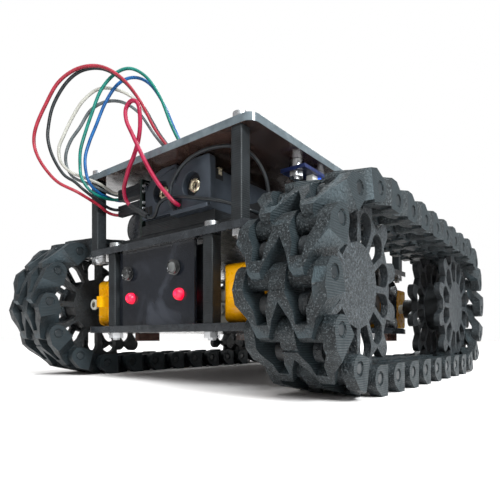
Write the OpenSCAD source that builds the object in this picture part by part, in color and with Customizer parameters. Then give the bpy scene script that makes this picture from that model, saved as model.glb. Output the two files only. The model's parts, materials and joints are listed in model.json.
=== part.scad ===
// Tracked tank chassis for small robots: two printed link tracks on four sprocket
// wheels, four geared motors and three stacked decks.
// X is across the chassis, -Y is the front with the sensor panel, +Z is up, and the
// tracks stand on Z = 0. All sizes are in millimetres.

/* [Tracks] */
// Distance between neighbouring track pins
link_pitch = 15.5; // [15.4:0.1:15.8]
// Links in the straight run between the wheels
run_links = 8; // [8:1:10]
// Width of a track
track_w = 31; // [31:0.5:32]
// Distance between the centres of the two tracks
track_gauge = 150; // [150:1:156]
// Height of the tread above the pins
tread_h = 6; // [5.5:0.25:7]
// Radius of the track pins
pin_r = 1.65; // [1.4:0.05:1.7]

/* [Sprocket wheels] */
// Thickness of each wheel disc
disc_t = 3; // [2.4:0.2:3]
// Radius of a wheel's solid centre
wheel_core_r = 14; // [13:0.2:15]
// Radius at the lobe tips
lobe_tip_r = 32.8; // [32:0.2:33]
// Radius between the lobes
rim_r = 25.6; // [25:0.1:25.6]

/* [Decks] */
// Width of the bottom and middle plates
deck_w = 100; // [100:1:104]
// Width of the top plate
top_w = 104; // [100:1:108]
// Length of the plates
deck_l = 158; // [158:1:166]
// Thickness of the plates
plate_t = 3; // [2:0.5:3]
// Height of the space between the bottom and middle plates
lower_bay = 32.75; // [32.75:0.25:34]
// Height of the space between the middle and top plates
upper_bay = 33; // [33:0.5:40]
// Width of a square post
post_w = 5; // [4.5:0.25:5.5]

/* [Sensor panel] */
// Width of the sensor panel
panel_w = 48.4; // [46:0.2:50]
// Distance of the panel's middle to the left of centre
panel_shift = 3; // [2:0.2:4]

/* [Batteries] */
// Radius of a battery cell
cell_r = 9.1; // [8.8:0.1:9.1]
// Length of a battery cell
cell_l = 65; // [60:1:65]

/* [Hidden] */
$fn = 48;

right = 1;
left = -1;
front = -1;
rear = 1;

// Track path
teeth = 12;
step = 360 / teeth;
arc_links = teeth / 2;
loop_links = 2 * (run_links + arc_links);
pin_path_r = link_pitch / (2 * sin(step / 2));
half_base = run_links * link_pitch / 2;
axle_z = pin_path_r + tread_h;
track_x = track_gauge / 2;
clear = 0.2;

// Link
half_w = track_w / 2;
barrel_r = 3.5;
ear_r = 4.2;
ear_t = 4;
ear_y = half_w - ear_t;
knuckle_half = 2.7;
body_in_z = -3.3;
shoulder_z = 1.2;
body_end = 12.5;
pin_hole_r = pin_r + 0.1;
pin_ring_r = 2.3;
pin_ring_depth = 0.5;

// Wheels and drive
disc_in = 5.1;
disc_out = disc_in + disc_t;
petal_r = 4.3;
petal_mid = 21.2;
petal_root = 2.4;
lobe_r = 3.4;
drum_r = 12.5;
spigot_r = 6;
spigot_l = 6;
boss_r = 5.5;
boss_in = 20;
shaft_r = 2.7;
shaft_bore_r = shaft_r + 0.05;
shaft_len = 40;
shaft_flat = 1.85;
clamp_x = 14.6;
bore_end = 12;
clamp_r = 1.35;

// Gear motors
gear_x = 42.1;
gear_w = 18.8;
gear_h = 22.5;
gear_front = 11.3;
gear_back = 25.7;
can_l = 25;
can_r = 10;
can_flat = 7.7;
cap_l = 5;
mount_y = 20.5;
mount_dz = 8.75;
m3_hole_r = 1.6;
m3_r = 1.5;
bracket_t = 3;
bracket_w = 14;
motor_lift = 0.5;
bracket_low = 17.2;
bracket_high = 50.5;
bracket_x = gear_x + gear_w / 2;
bracket_y = half_base - mount_y;

// Decks
bottom_z = axle_z - gear_h / 2 - motor_lift - plate_t;
lower_z = bottom_z + plate_t;
middle_z = lower_z + lower_bay;
upper_z = middle_z + plate_t;
top_z = upper_z + upper_bay;
roof_z = top_z + plate_t;
lower_post_x = 30.5;
upper_post_x = 44.5;
post_y = deck_l / 2 - 3;
tray_w = 76;
tray_l = 2 * (post_y - post_w / 2 - 1.4);
tray_t = 4;
tray_z = upper_z + tray_t;
mount_x = 60;
mount_l = 60;
mount_mid = 40;

// Fasteners
head_r = 2.8;
head_h = 2;
nut_r = 3.1;
nut_h = 2.4;
nut_bore_r = 1.55;
bolt_tail = 0.9;

// Sensor panel
panel_t = 1.5;
panel_y = -76.2;
board_t = 1.6;
board_y = -71.4;
eye_z = 47;
led_z = 36.2;
eye_x = [-20, 10.4];
led_x = [-18.6, 12.8];
eye_r = 2.6;
eye_rim_r = 3.1;
eye_out = 2.5;
led_r = 2.5;
led_out = 0.3;

// Batteries
riser_h = 4.5;
holder_z = tray_z + riser_h;
holder_w = 21;
holder_l = 77;
holder_h = 21;
holder_wall = 1.2;
holder_side = 16;
holder_end = 3;
holder_floor = 1.8;
cell_z = holder_z + holder_floor + 0.2 + cell_r;
holder_x = [17, -6];
holder_y = [-74, -70.5];
holder_lift = [0, 2.5];
window_r = 5;
contact_t = 0.4;

// Boards on the decks
driver_x = -20.6;
driver_y = -70.5;
driver_l = 42;
driver_h = 27;
pin_gap = 2.54;
header_z = 77.7;
header_y = [-69.5, -67];
header_t = 2.4;
header_rows = 5;
terminal_x = 42.6;
terminal_y = -59;
terminal_w = 8;
terminal_l = 10;
terminal_h = 10;
cap_x = -30.5;
cap_y = -65.4;
cap_r = 7.4;
cap_len = 15;
hung_x = 45;
hung_y = -44;
hung_w = 12;
hung_len = 24;
hung_drop = 5;

// Wires. Each route is a list of points along the wire's middle, from one end to the other.
jumper_r = 0.7;
lead_r = 0.85;
housing_w = 2.4;
housing_l = 14;
wire_sides = 8;
rings_per_span = 2;
plug_x = driver_x - header_t - housing_l;
jumper_end_z = 97.2;
red_route = [
    [-37, -69.5, 77.7], [-38.23, -69.77, 77.72], [-39.22, -70.54, 77.8], [-39.85, -71.7, 77.95],
    [-40.1, -73.2, 78.2], [-40.05, -75.6, 78.9], [-39.5, -79.5, 80.5], [-39, -89.5, 83.5],
    [-43.5, -96, 87], [-47.5, -99.5, 92.5], [-50, -102, 98.5], [-51, -103, 104.5], [-50, -102.5, 111],
    [-47.5, -100, 120], [-43.5, -96, 131], [-38, -90, 138], [-31, -83.5, 139.5], [-24.5, -77, 135],
    [-19, -71.5, 125.5], [-14.5, -67, 113.5], [-10.5, -62.5, 105.5], [-6, -58.5, 99], [-1, -53.5, 97],
    [5, -52, 97.2], [10.5, -52, 97.2]];
black_route = [
    [-37, -69.5, 80.24], [-38.23, -69.77, 80.24], [-39.22, -70.54, 80.28], [-39.8, -71.65, 80.35],
    [-40, -73.2, 80.5], [-39.7, -75.6, 81], [-39, -79.5, 82], [-39, -87, 85.5], [-41, -90, 88.5],
    [-44, -93.5, 91.5], [-47, -96.5, 98.5], [-48.5, -98, 105.5], [-48.5, -98, 112], [-47, -96.5, 122],
    [-43, -92.5, 132.5], [-38, -87.5, 138.5], [-31.5, -81, 139.5], [-25, -74.5, 134],
    [-19.5, -69, 124], [-14.5, -64, 112], [-10, -59.5, 104], [-5.5, -55, 98.5], [-1, -50.5, 97],
    [6, -49, 97.2], [12, -49, 97.2]];
white_route = [
    [-37, -69.5, 87.86], [-38.23, -69.77, 88], [-39.22, -70.54, 88.2], [-39.8, -71.65, 88.45],
    [-39.9, -73.1, 88.85], [-39.7, -75.4, 89.6], [-39.6, -79, 90.6], [-43, -84, 92.5],
    [-47.5, -88.5, 95], [-50.5, -91.5, 99.5], [-51, -92, 105.5], [-49.5, -90.5, 111.5],
    [-47, -88, 119.5], [-43.5, -84.5, 128], [-38.5, -79.5, 134], [-32.5, -73.5, 134], [-27, -68, 130],
    [-22, -63, 121], [-18, -58.5, 112], [-13.5, -54, 105], [-9, -49.5, 99.5], [-4, -44.5, 97.5],
    [0, -41.2, 97.1], [5, -40.1, 97.1], [12, -40, 97.2]];
grey_route = [
    [-37, -67, 87.86], [-39.15, -67.58, 87.88], [-40.7, -69.1, 88], [-41.25, -71.2, 88.15],
    [-41.1, -74, 88.3], [-40.7, -77.5, 88.6], [-42.5, -81, 90], [-48, -86.5, 93], [-50.5, -88.5, 98],
    [-50.5, -89, 103.5], [-49, -87.5, 110], [-46.5, -84.5, 116.5], [-43, -81, 125], [-38, -76, 129.5],
    [-32.5, -70.5, 129.5], [-27, -65.5, 124.5], [-22.5, -61, 115.5], [-18.5, -56.5, 108.5],
    [-14, -52.5, 102.5], [-9.5, -47.5, 98.5], [-4.5, -42.5, 97], [0.5, -37, 97], [6, -37, 97.2],
    [14, -37, 97.2], [20, -37, 97.2]];
green_route = [
    [-37, -69.5, 85.32], [-38.23, -69.77, 85.25], [-39.22, -70.54, 85.15], [-39.8, -71.65, 85],
    [-39.9, -73.1, 84.85], [-39.5, -75.4, 84.5], [-38.5, -79.5, 84.3], [-39, -84, 86],
    [-40.5, -87, 91], [-41, -87.5, 97], [-40.5, -87.5, 103.5], [-39.5, -86, 111], [-37.5, -84, 120],
    [-34.5, -81, 131.5], [-30, -76.5, 139.5], [-25, -72, 142], [-20, -67, 138.5], [-16, -62.5, 130],
    [-12.5, -59, 117.5], [-9, -56, 108.5], [-5.5, -52, 101], [-0.5, -47.5, 97.5], [5, -46, 97.2],
    [11, -46, 97.2], [17, -46, 97.2]];
blue_route = [
    [-37, -67, 85.32], [-39.15, -67.58, 85.35], [-40.7, -69.1, 85.5], [-41.25, -71.2, 85.75],
    [-41.1, -74, 86], [-40.8, -77.5, 86.4], [-40.5, -82.5, 89], [-41, -84.5, 94], [-41, -85, 101],
    [-40, -83.5, 108.5], [-38, -81.5, 116], [-35, -78.5, 127], [-31, -74.5, 136], [-26, -69.5, 139.5],
    [-21, -64.5, 137], [-16.5, -60, 128], [-12.5, -56.5, 116], [-9.5, -53.5, 107.5],
    [-5.5, -49.5, 100.5], [-0.5, -44.5, 97.5], [6, -43, 97.2], [12, -43, 97.2], [19, -43, 97.2]];
jumper_plugs = [[0, 0], [0, 1], [0, 3], [1, 3], [0, 4], [1, 4]];
jumper_ends = [[10.5, -52], [12, -49], [17, -46], [19, -43], [12, -40], [20, -37]];
lead_red_route = [
    [10.2, -74, 72.5], [10, -75.9, 72.9], [9.2, -77.5, 74.3], [7.6, -79.2, 77], [5.4, -80.6, 80.2],
    [2.4, -82.2, 85.5], [-0.6, -83.6, 91.5], [-3.4, -84.4, 97], [-6, -84.9, 102], [-8.6, -85.2, 106.6],
    [-9.8, -85.2, 109.8], [-10.07, -85.1, 112.58], [-9.09, -85, 114.29], [-7.38, -84.9, 115.27],
    [-5.42, -84.7, 115.27], [-3.71, -84.4, 114.29], [-2.73, -84.1, 112.58], [-2.6, -83.7, 110.2],
    [-3.1, -83.1, 107.2], [-4.2, -82.5, 103.5], [-5.8, -82.3, 99], [-7.8, -82.8, 94],
    [-10.6, -83.2, 89.4], [-13.7, -82.4, 86], [-16.7, -81.3, 83.3], [-19, -79.5, 81],
    [-19.9, -77.7, 78.8], [-19, -76.5, 77]];
lead_black_route = [
    [7.6, -74, 72], [7.55, -75.23, 72.27], [7.5, -76.22, 73.04], [7.55, -76.8, 74.2],
    [7.7, -76.95, 75.9], [8.1, -76.9, 78], [8.8, -76.8, 80.8], [12.8, -76.5, 85.3],
    [18.6, -76.3, 88.4], [25.8, -75.6, 90], [32.5, -73.4, 90.6], [37, -70, 90.4], [39.5, -66, 89.4],
    [41.2, -62, 86.4], [42.4, -58.6, 81], [42.6, -57, 75], [42.6, -57, 69.94]];
link_route = [
    [-9, -75, 71], [-7.6, -74.85, 70.2], [-6, -74.8, 69.95], [-4.5, -74.8, 70.5], [-3.3, -74.9, 71.9],
    [-2.3, -75, 73.6], [-0.6, -75.2, 75.2], [2.4, -75.2, 76.1], [6, -75.1, 76.2], [13.4, -75.1, 75],
    [22.5, -75.2, 72.6], [31, -75, 70.4], [36.6, -72.4, 68.6], [40, -70, 67.2], [42, -67.6, 66.3],
    [42.6, -65.6, 66], [42.6, -64, 66]];
sleeve_ends = [[-19, -76.5, 77], [-9, -75, 71]];
sleeve_r = 1.3;

// Where pin i of the loop is, as [y, z]: rearward along the top, down round the rear
// wheel, forward along the ground and up round the front wheel
function round_wheel(y, a) = [y + pin_path_r * cos(a), axle_z + pin_path_r * sin(a)];
function pin_at(i) =
    i <= run_links ? [-half_base + i * link_pitch, axle_z + pin_path_r]
    : i <= run_links + arc_links ? round_wheel(half_base, 90 - step * (i - run_links))
    : i <= 2 * run_links + arc_links
        ? [half_base - (i - run_links - arc_links) * link_pitch, axle_z - pin_path_r]
    : round_wheel(-half_base, -90 - step * (i - 2 * run_links - arc_links));
function link_angle(i) =
    let (a = pin_at(i), b = pin_at(i + 1)) atan2(b[1] - a[1], b[0] - a[0]);

// Smooth curve through a list of points, and a round tube swept along it
function spline(a, b, c, d, t) =
    0.5 * (2 * b + t * (c - a) + t * t * (2 * a - 5 * b + 4 * c - d) + t * t * t * (3 * b - a - 3 * c + d));
// The point that would come before a, on the parabola through a, b and c
function before(a, b, c) = 3 * (a - b) + c;
function curve(p) = let (n = len(p), q = concat([before(p[0], p[1], p[2])], p,
    [before(p[n - 1], p[n - 2], p[n - 3])])) [
    for (i = [0 : n - 2]) for (k = [0 : rings_per_span - 1])
        spline(q[i], q[i + 1], q[i + 2], q[i + 3], k / rings_per_span),
    p[n - 1]];
function unit(v) = v / norm(v);
function tangents(c) = [for (i = [0 : len(c) - 1]) unit(c[min(i + 1, len(c) - 1)] - c[max(i - 1, 0)])];
function side_of(u, t) = unit(u - t * (u * t));
function sides(ts, u, i = 0) = i == len(ts) ? []
    : let (v = side_of(u, ts[i])) concat([v], sides(ts, v, i + 1));

module tube(route, r) {
    c = curve(route);
    t = tangents(c);
    s = sides(t, cross(t[0], [0.36, 0.48, 0.8]));
    n = len(c);
    m = wire_sides;
    polyhedron(
        points = [for (i = [0 : n - 1]) for (k = [0 : m - 1])
            c[i] + r * (cos(360 * k / m) * s[i] + sin(360 * k / m) * cross(t[i], s[i]))],
        faces = concat(
            [[for (k = [0 : m - 1]) k]],
            [[for (k = [0 : m - 1]) (n - 1) * m + m - 1 - k]],
            [for (i = [0 : n - 2]) for (k = [0 : m - 1])
                [i * m + k, (i + 1) * m + k, (i + 1) * m + (k + 1) % m, i * m + (k + 1) % m]]));
}

// ---------------------------------------------------------------- shared shapes

module box(low, high) {
    translate(low) cube(high - low);
}

module rounded(w, h, r) {
    square([w - 2 * r, h], center = true);
    square([w, h - 2 * r], center = true);
    for (x = [-1, 1], y = [-1, 1]) translate([x * (w / 2 - r), y * (h / 2 - r)]) circle(r);
}

module at_corners(x, y) {
    for (sx = [-1, 1], sy = [-1, 1]) translate([sx * x, sy * y, 0]) children();
}

// Cylinder along X, from x0 to x1
module rod_x(r, x0, x1) {
    translate([x0, 0, 0]) rotate([0, 90, 0]) cylinder(r = r, h = x1 - x0);
}

// Cylinder along Y, from y0 to y1
module rod_y(r, y0, y1) {
    translate([0, y1, 0]) rotate([90, 0, 0]) cylinder(r = r, h = y1 - y0);
}

// Turns a drawing in X and Y to stand in Y and Z, extruded along X from x0 to x1
module stand_x(x0, x1) {
    translate([x0, 0, 0]) rotate([90, 0, 90]) linear_extrude(x1 - x0) children();
}

module pan_bolt(l) {
    translate([0, 0, -l]) cylinder(r = m3_r, h = l);
    difference() {
        cylinder(r = head_r, h = head_h);
        for (a = [0, 90]) rotate(a) translate([-1.6, -0.35, head_h - 0.9]) cube([3.2, 0.7, 2]);
    }
}

module hex_nut() {
    difference() {
        cylinder(r = nut_r, h = nut_h, $fn = 6);
        translate([0, 0, -1]) cylinder(r = nut_bore_r, h = nut_h + 2);
    }
}

// ---------------------------------------------------------------- decks and posts

module plate(w, l) {
    linear_extrude(plate_t) rounded(w, l, 4);
}

module post_holes(x) {
    translate([0, 0, -1]) at_corners(x, post_y) cylinder(r = m3_hole_r, h = plate_t + 2);
}

module bottom_plate() {
    tab = bracket_w + 7;
    color("#26282b") translate([0, 0, bottom_z]) difference() {
        union() {
            plate(deck_w, deck_l);
            for (s = [-1, 1]) translate([0, s * bracket_y - tab / 2, 0])
                translate([-bracket_x - 6, 0, 0]) cube([2 * bracket_x + 12, tab, plate_t]);
        }
        post_holes(lower_post_x);
        for (sx = [-1, 1], sy = [-1, 1])
            translate([sx * (bracket_x + bracket_t / 2), sy * bracket_y, plate_t / 2])
                cube([bracket_t + clear, bracket_w + clear, plate_t + 2], center = true);
    }
}

module middle_plate() {
    color("#26282b") translate([0, 0, middle_z]) difference() {
        plate(deck_w, deck_l);
        post_holes(lower_post_x);
        post_holes(upper_post_x);
    }
}

module deck_tray() {
    color("#1d1f22") translate([0, 0, upper_z]) linear_extrude(tray_t) rounded(tray_w, tray_l, 3);
}

module top_plate() {
    color("#3a2a26") translate([0, 0, top_z]) difference() {
        plate(top_w, deck_l);
        post_holes(upper_post_x);
        translate([0, mount_mid, -1]) at_corners(mount_x / 2, mount_l / 2)
            cylinder(r = m3_hole_r, h = plate_t + 2);
    }
}

module posts(x, low, high) {
    color("#303336") at_corners(x, post_y) translate([0, 0, low]) difference() {
        linear_extrude(high - low) rounded(post_w, post_w, 0.6);
        translate([0, 0, -1]) cylinder(r = m3_hole_r, h = high - low + 2);
    }
}

module post_bolts() {
    color("#b9bcc0") {
        at_corners(lower_post_x, post_y) {
            translate([0, 0, upper_z]) pan_bolt(upper_z - bottom_z + nut_h + bolt_tail);
            translate([0, 0, bottom_z - nut_h]) hex_nut();
        }
        at_corners(upper_post_x, post_y) {
            translate([0, 0, roof_z]) pan_bolt(roof_z - middle_z + nut_h + bolt_tail);
            translate([0, 0, middle_z - nut_h]) hex_nut();
        }
    }
}

// ---------------------------------------------------------------- sensor panel

module at_eyes() {
    for (x = eye_x) translate([x, 0, eye_z]) children();
}

module at_leds() {
    for (x = led_x) translate([x, 0, led_z]) children();
}

module sensor_panel() {
    color("#2b2d31") difference() {
        box([-panel_shift - panel_w / 2, panel_y, lower_z],
            [-panel_shift + panel_w / 2, panel_y + panel_t, middle_z]);
        at_eyes() rod_y(eye_r + 0.1, panel_y - 1, panel_y + panel_t + 1);
        at_leds() rod_y(led_r + 0.1, panel_y - 1, panel_y + panel_t + 1);
    }
}

module sensor_board() {
    color("#17191b") {
        box([-27, board_y, 26], [25.5, board_y + board_t, 56]);
        box([-12, board_y + board_t, 33], [3, board_y + board_t + 2.5, 41]);
    }
}

module ir_receivers() {
    color("#17181a") at_eyes() {
        rod_y(eye_r, panel_y - 0.3, board_y);
        rod_y(eye_rim_r, panel_y - 2, panel_y - 0.3);
        rod_y(eye_r, panel_y - eye_out, panel_y - 2);
    }
}

module signal_leds() {
    color("#e0203c") at_leds() {
        rod_y(led_r, panel_y - led_out, board_y);
        translate([0, panel_y - led_out, 0]) sphere(led_r);
    }
}

// ---------------------------------------------------------------- motors
// A gear motor's own frame: the output shaft is the X axis and the motor lies along +Y

module at_motor(side, end) {
    translate([side * gear_x, end * half_base, axle_z]) mirror([0, end > 0 ? 1 : 0, 0])
        mirror([side < 0 ? 1 : 0, 0, 0]) children();
}

module gearbox(side, end) {
    mid_y = (gear_back - gear_front) / 2;
    len_y = gear_back + gear_front;
    color("#f0a800") at_motor(side, end) difference() {
        union() {
            intersection() {
                stand_x(-gear_w / 2, gear_w / 2) translate([mid_y, 0]) rounded(len_y, gear_h, 5.5);
                translate([0, mid_y, -gear_h / 2]) linear_extrude(gear_h) rounded(gear_w, len_y, 3.5);
            }
            box([-1.5, -gear_front - 4.5, -2.6], [1.5, -gear_front + 1, 2.6]);
            rod_x(4, -gear_w / 2 - 0.6, gear_w / 2);
        }
        rod_x(shaft_bore_r, -gear_w, gear_w);
        for (z = [-1, 1]) translate([0, mount_y, z * mount_dz]) rod_x(m3_hole_r, -gear_w, gear_w);
        stand_x(-0.2, 0.2) difference() {
            translate([mid_y, 0]) square([len_y + 20, gear_h + 20], center = true);
            translate([mid_y, 0]) rounded(len_y - 0.8, gear_h - 0.8, 5.1);
            translate([-gear_front - 10, -3]) square([11, 6]);
        }
    }
}

module motor_can() {
    intersection() {
        rod_y(can_r, gear_back, gear_back + can_l);
        box([-can_flat, gear_back, -can_r], [can_flat, gear_back + can_l, can_r]);
    }
}

module motor_cap() {
    y0 = gear_back + can_l;
    intersection() {
        rod_y(can_r - 0.3, y0, y0 + cap_l);
        box([-can_flat + 0.3, y0, -can_r], [can_flat - 0.3, y0 + cap_l, can_r]);
    }
    rod_y(3.2, y0 + cap_l, y0 + cap_l + 1.5);
    for (x = [-1, 1]) box([x * 5 - 0.3, y0 + cap_l, -1.2], [x * 5 + 0.3, y0 + cap_l + 3, 1.2]);
}

module at_motors() {
    for (side = [right, left], end = [front, rear]) at_motor(side, end) children();
}

module motor_cans() {
    color("#a9adb1") at_motors() motor_can();
}

module motor_caps() {
    color("#e9e6dd") at_motors() motor_cap();
}

module bracket() {
    r = bracket_w / 2 - 1;
    x0 = gear_w / 2;
    top = bracket_high - axle_z;
    low = bracket_low - axle_z;
    shoulder = lower_z - axle_z;
    difference() {
        stand_x(x0, x0 + bracket_t) translate([mount_y, 0]) {
            translate([-bracket_w / 2, low]) square([bracket_w, top - r - low]);
            translate([-bracket_w / 2 + r, top - 2 * r]) square([bracket_w - 2 * r, 2 * r]);
            for (y = [-1, 1]) translate([y * (bracket_w / 2 - r), top - r]) circle(r);
            translate([-bracket_w / 2 - 1.5, shoulder]) square([bracket_w + 3, 4]);
        }
        for (z = [-1, 1]) translate([0, mount_y, z * mount_dz]) rod_x(m3_hole_r, x0 - 1, x0 + bracket_t + 1);
    }
}

module motor_brackets() {
    color("#2c2321") at_motors() bracket();
}

module bracket_bolts() {
    x0 = gear_w / 2 + bracket_t;
    l = gear_w + bracket_t + nut_h + bolt_tail;
    color("#b9bcc0") at_motors() for (z = [-1, 1]) translate([0, mount_y, z * mount_dz]) {
        translate([x0, 0, 0]) rotate([0, 90, 0]) pan_bolt(l);
        translate([-gear_w / 2 - nut_h, 0, 0]) rotate([0, 90, 0]) rotate(30) hex_nut();
    }
}

// ---------------------------------------------------------------- batteries and boards

// Block under both cell holders, with a step that lifts the left one
module battery_riser() {
    left = holder_x[1] - holder_w / 2;
    color("#17181a") {
        box([-17, -72, tray_z], [28, 2, holder_z]);
        box([left, holder_y[1], tray_z], [left + holder_w, 2, holder_z + holder_lift[1]]);
    }
}

// Open cradle for one cell, with a rounded corner on its left
module battery_holder(x, y, lift) {
    color("#1c1e21") translate([x, y, holder_z + lift]) difference() {
        union() {
            box([-holder_w / 2, 0, 0], [holder_w / 2, holder_l, holder_floor]);
            for (s = [-1, 1]) translate([s * (holder_w - holder_wall) / 2, holder_l / 2, holder_side / 2])
                cube([holder_wall, holder_l, holder_side], center = true);
            for (y0 = [0, holder_l - holder_end]) translate([0, y0 + holder_end, 0]) rotate([90, 0, 0])
                linear_extrude(holder_end) holder_end_plan();
        }
        translate([0, -1, cell_z - holder_z]) rod_y(window_r, 0, holder_end + 2);
    }
}

module holder_end_plan() {
    r = 13;
    translate([-holder_w / 2, 0]) square([holder_w, holder_h - r]);
    translate([-holder_w / 2 + r, 0]) square([holder_w - r - 1.5, holder_h]);
    translate([-holder_w / 2 + r, 0]) square([holder_w - r, holder_h - 1.5]);
    intersection() {
        translate([-holder_w / 2 + r, holder_h - r]) circle(r);
        translate([-holder_w / 2, 0]) square([holder_w - 1.5, holder_h]);
    }
    translate([holder_w / 2 - 1.5, holder_h - 1.5]) circle(1.5);
}

module at_cells() {
    for (i = [0, 1]) translate([holder_x[i], holder_y[i], cell_z + holder_lift[i]]) children();
}

module battery_cells() {
    y0 = holder_end + 0.6;
    color("#2b2f3a") at_cells() {
        rod_y(cell_r, y0, y0 + cell_l);
        rod_y(3, y0 + cell_l, y0 + cell_l + 1.2);
    }
}

module battery_contacts() {
    color("#c9b27a") at_cells() {
        rod_y(6, holder_end, holder_end + contact_t);
        difference() {
            rod_y(3.6, holder_end - 1.6, holder_end);
            rod_y(1.6, holder_end - 2, holder_end);
        }
        rod_y(5, holder_l - holder_end - 3.4, holder_l - holder_end);
    }
}

module driver_board() {
    z0 = header_z - 1.3;
    rows_h = header_rows * pin_gap;
    color("#15211c") translate([driver_x, driver_y, tray_z]) cube([board_t, driver_l, driver_h]);
    color("#17181a") {
        box([driver_x - header_t, -70.8, z0], [driver_x, -65.7, z0 + rows_h]);
        box([driver_x - 6, -48, tray_z + 3], [driver_x, -34, tray_z + 17]);
    }
}

module capacitor() {
    color("#3a3d42") translate([cap_x, 0, tray_z + cap_r]) rod_y(cap_r, cap_y, cap_y + cap_len);
}

module side_board() {
    z0 = top_z - hung_drop;
    color("#1b3d63") {
        difference() {
            box([hung_x - hung_w / 2, hung_y, z0], [hung_x + hung_w / 2, hung_y + hung_len, z0 + board_t]);
            for (y = [3, hung_len - 3])
                translate([hung_x, hung_y + y, z0 - 1]) cylinder(r = m3_hole_r, h = 4);
        }
        box([hung_x + 1, hung_y + 8, z0 - 3.5], [hung_x + 5.5, hung_y + 14, z0]);
    }
    color("#b9bcc0") for (y = [3, hung_len - 3]) translate([hung_x, hung_y + y, 0]) {
        translate([0, 0, z0 - nut_h]) hex_nut();
        translate([0, 0, z0 - nut_h - bolt_tail]) cylinder(r = m3_r, h = top_z - z0 + nut_h + bolt_tail);
        translate([0, 0, z0 + board_t]) difference() {
            cylinder(r = 2.6, h = hung_drop - board_t);
            translate([0, 0, -1]) cylinder(r = nut_bore_r, h = hung_drop + 1);
        }
    }
}

module terminal_block() {
    color("#1c1e21") difference() {
        translate([terminal_x - terminal_w / 2, terminal_y - terminal_l / 2, upper_z])
            cube([terminal_w, terminal_l, terminal_h]);
        for (y = [-2.5, 2.5]) translate([terminal_x + 2, terminal_y + y, upper_z + terminal_h - 1])
            cylinder(r = 1.6, h = 2);
    }
}

// ---------------------------------------------------------------- tracks
// A link's own frame: X runs from its barrels' pin to its ears' pin, Z points at the tread

module both_sides() {
    children();
    mirror([0, 1, 0]) children();
}

// Extrudes a side view, drawn in X and Z, across the link from y0 to y1
module across(y0, y1) {
    translate([0, y1, 0]) rotate([90, 0, 0]) linear_extrude(y1 - y0) children();
}

module shoulder_plan() {
    polygon([[0, 3.1], [0, 11.1], [4.6, ear_y - clear], [9.4, half_w], [body_end, half_w],
        [body_end, 0], [9.6, 0], [4.6, knuckle_half + clear]]);
}

module tread_plan() {
    polygon([[-1.8, 5.4], [-1.8, 8.8], [4.6, ear_y - clear], [9.4, half_w], [body_end, half_w],
        [body_end, 0], [9.6, 0], [4.6, knuckle_half + clear]]);
}

module slot_plan() {
    polygon([[3, 4.7], [3, 8.5], [7.2, 8.9], [11.7, ear_y - 0.1], [30, ear_y - 0.1],
        [30, knuckle_half + 0.1], [11.7, knuckle_half + 0.1], [7.2, 4.5]]);
}

module eye_profile(top) {
    translate([link_pitch, 0]) circle(ear_r);
    polygon([[body_end - 3, -ear_r], [link_pitch, -ear_r], [link_pitch + 2.7, 3.2],
        [link_pitch - 1.6, top], [body_end - 3, top]]);
}

module link() {
    difference() {
        union() {
            both_sides() difference() {
                union() {
                    translate([0, 0, body_in_z]) linear_extrude(shoulder_z - body_in_z) shoulder_plan();
                    translate([0, 0, shoulder_z]) linear_extrude(tread_h - shoulder_z) tread_plan();
                    rotate([90, 0, 0]) translate([0, 0, -11.2]) cylinder(r = barrel_r, h = 8.2);
                }
                translate([0, 0, -10]) linear_extrude(20) slot_plan();
                across(-1, 20) polygon([[-6, tread_h + 1], [-1.4, tread_h + 1], [-0.6, tread_h],
                    [-2.4, 3.4], [-6, 3.4]]);
            }
            both_sides() across(ear_y, half_w) eye_profile(tread_h);
            across(-knuckle_half, knuckle_half) eye_profile(tread_h - 0.6);
        }
        rod_y(pin_hole_r, -half_w, half_w);
        translate([link_pitch, 0, 0]) {
            rod_y(pin_hole_r, -half_w - 1, half_w + 1);
            both_sides() rod_y(pin_ring_r, half_w - pin_ring_depth, half_w + 1);
        }
    }
}

// Links first to first + count - 1 of the loop on one side
module track(side, first, count) {
    color(side == right ? "#3a3f42" : "#2f3437") for (i = [first : first + count - 1])
        translate([side * track_x, pin_at(i)[0], pin_at(i)[1]])
            rotate([link_angle(i), 0, 0]) rotate(90) link();
}

module track_pins() {
    l = half_w - 0.3;
    color("#24282a") for (side = [right, left], i = [0 : loop_links - 1])
        translate([side * track_x, pin_at(i)[0], pin_at(i)[1]]) rod_x(pin_r, -l, l);
}

// ---------------------------------------------------------------- sprocket wheels
// A wheel's own frame: its axle is the X axis and +X points away from the chassis

module at_wheel(side, end) {
    translate([side * track_x, end * half_base, axle_z]) mirror([side < 0 ? 1 : 0, 0, 0])
        mirror([0, end > 0 ? 1 : 0, 0]) children();
}

module lobe_plan() {
    translate([lobe_tip_r - lobe_r, 0]) circle(lobe_r);
    polygon([[rim_r - 1.2, -4.1], [rim_r - 1.2, 4.1], [lobe_tip_r - lobe_r, lobe_r],
        [lobe_tip_r - lobe_r, -lobe_r]]);
}

module petal_plan() {
    translate([petal_mid, 0]) circle(petal_r);
    polygon([[wheel_core_r, -petal_root], [wheel_core_r, petal_root],
        [petal_mid - 1, petal_r - 0.2], [petal_mid - 1, 0.2 - petal_r]]);
}

module disc_plan() {
    difference() {
        union() {
            circle(rim_r, $fn = 96);
            for (k = [0 : teeth - 1]) rotate(step * (k + 0.5)) lobe_plan();
        }
        for (k = [0 : teeth - 1]) rotate(step * (k + 0.5)) petal_plan();
    }
}

module outer_disc(side, end) {
    color("#4a4e52") at_wheel(side, end) {
        stand_x(disc_in, disc_out) disc_plan();
        rod_x(spigot_r - 0.1, disc_in - spigot_l, disc_in);
    }
}

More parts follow.
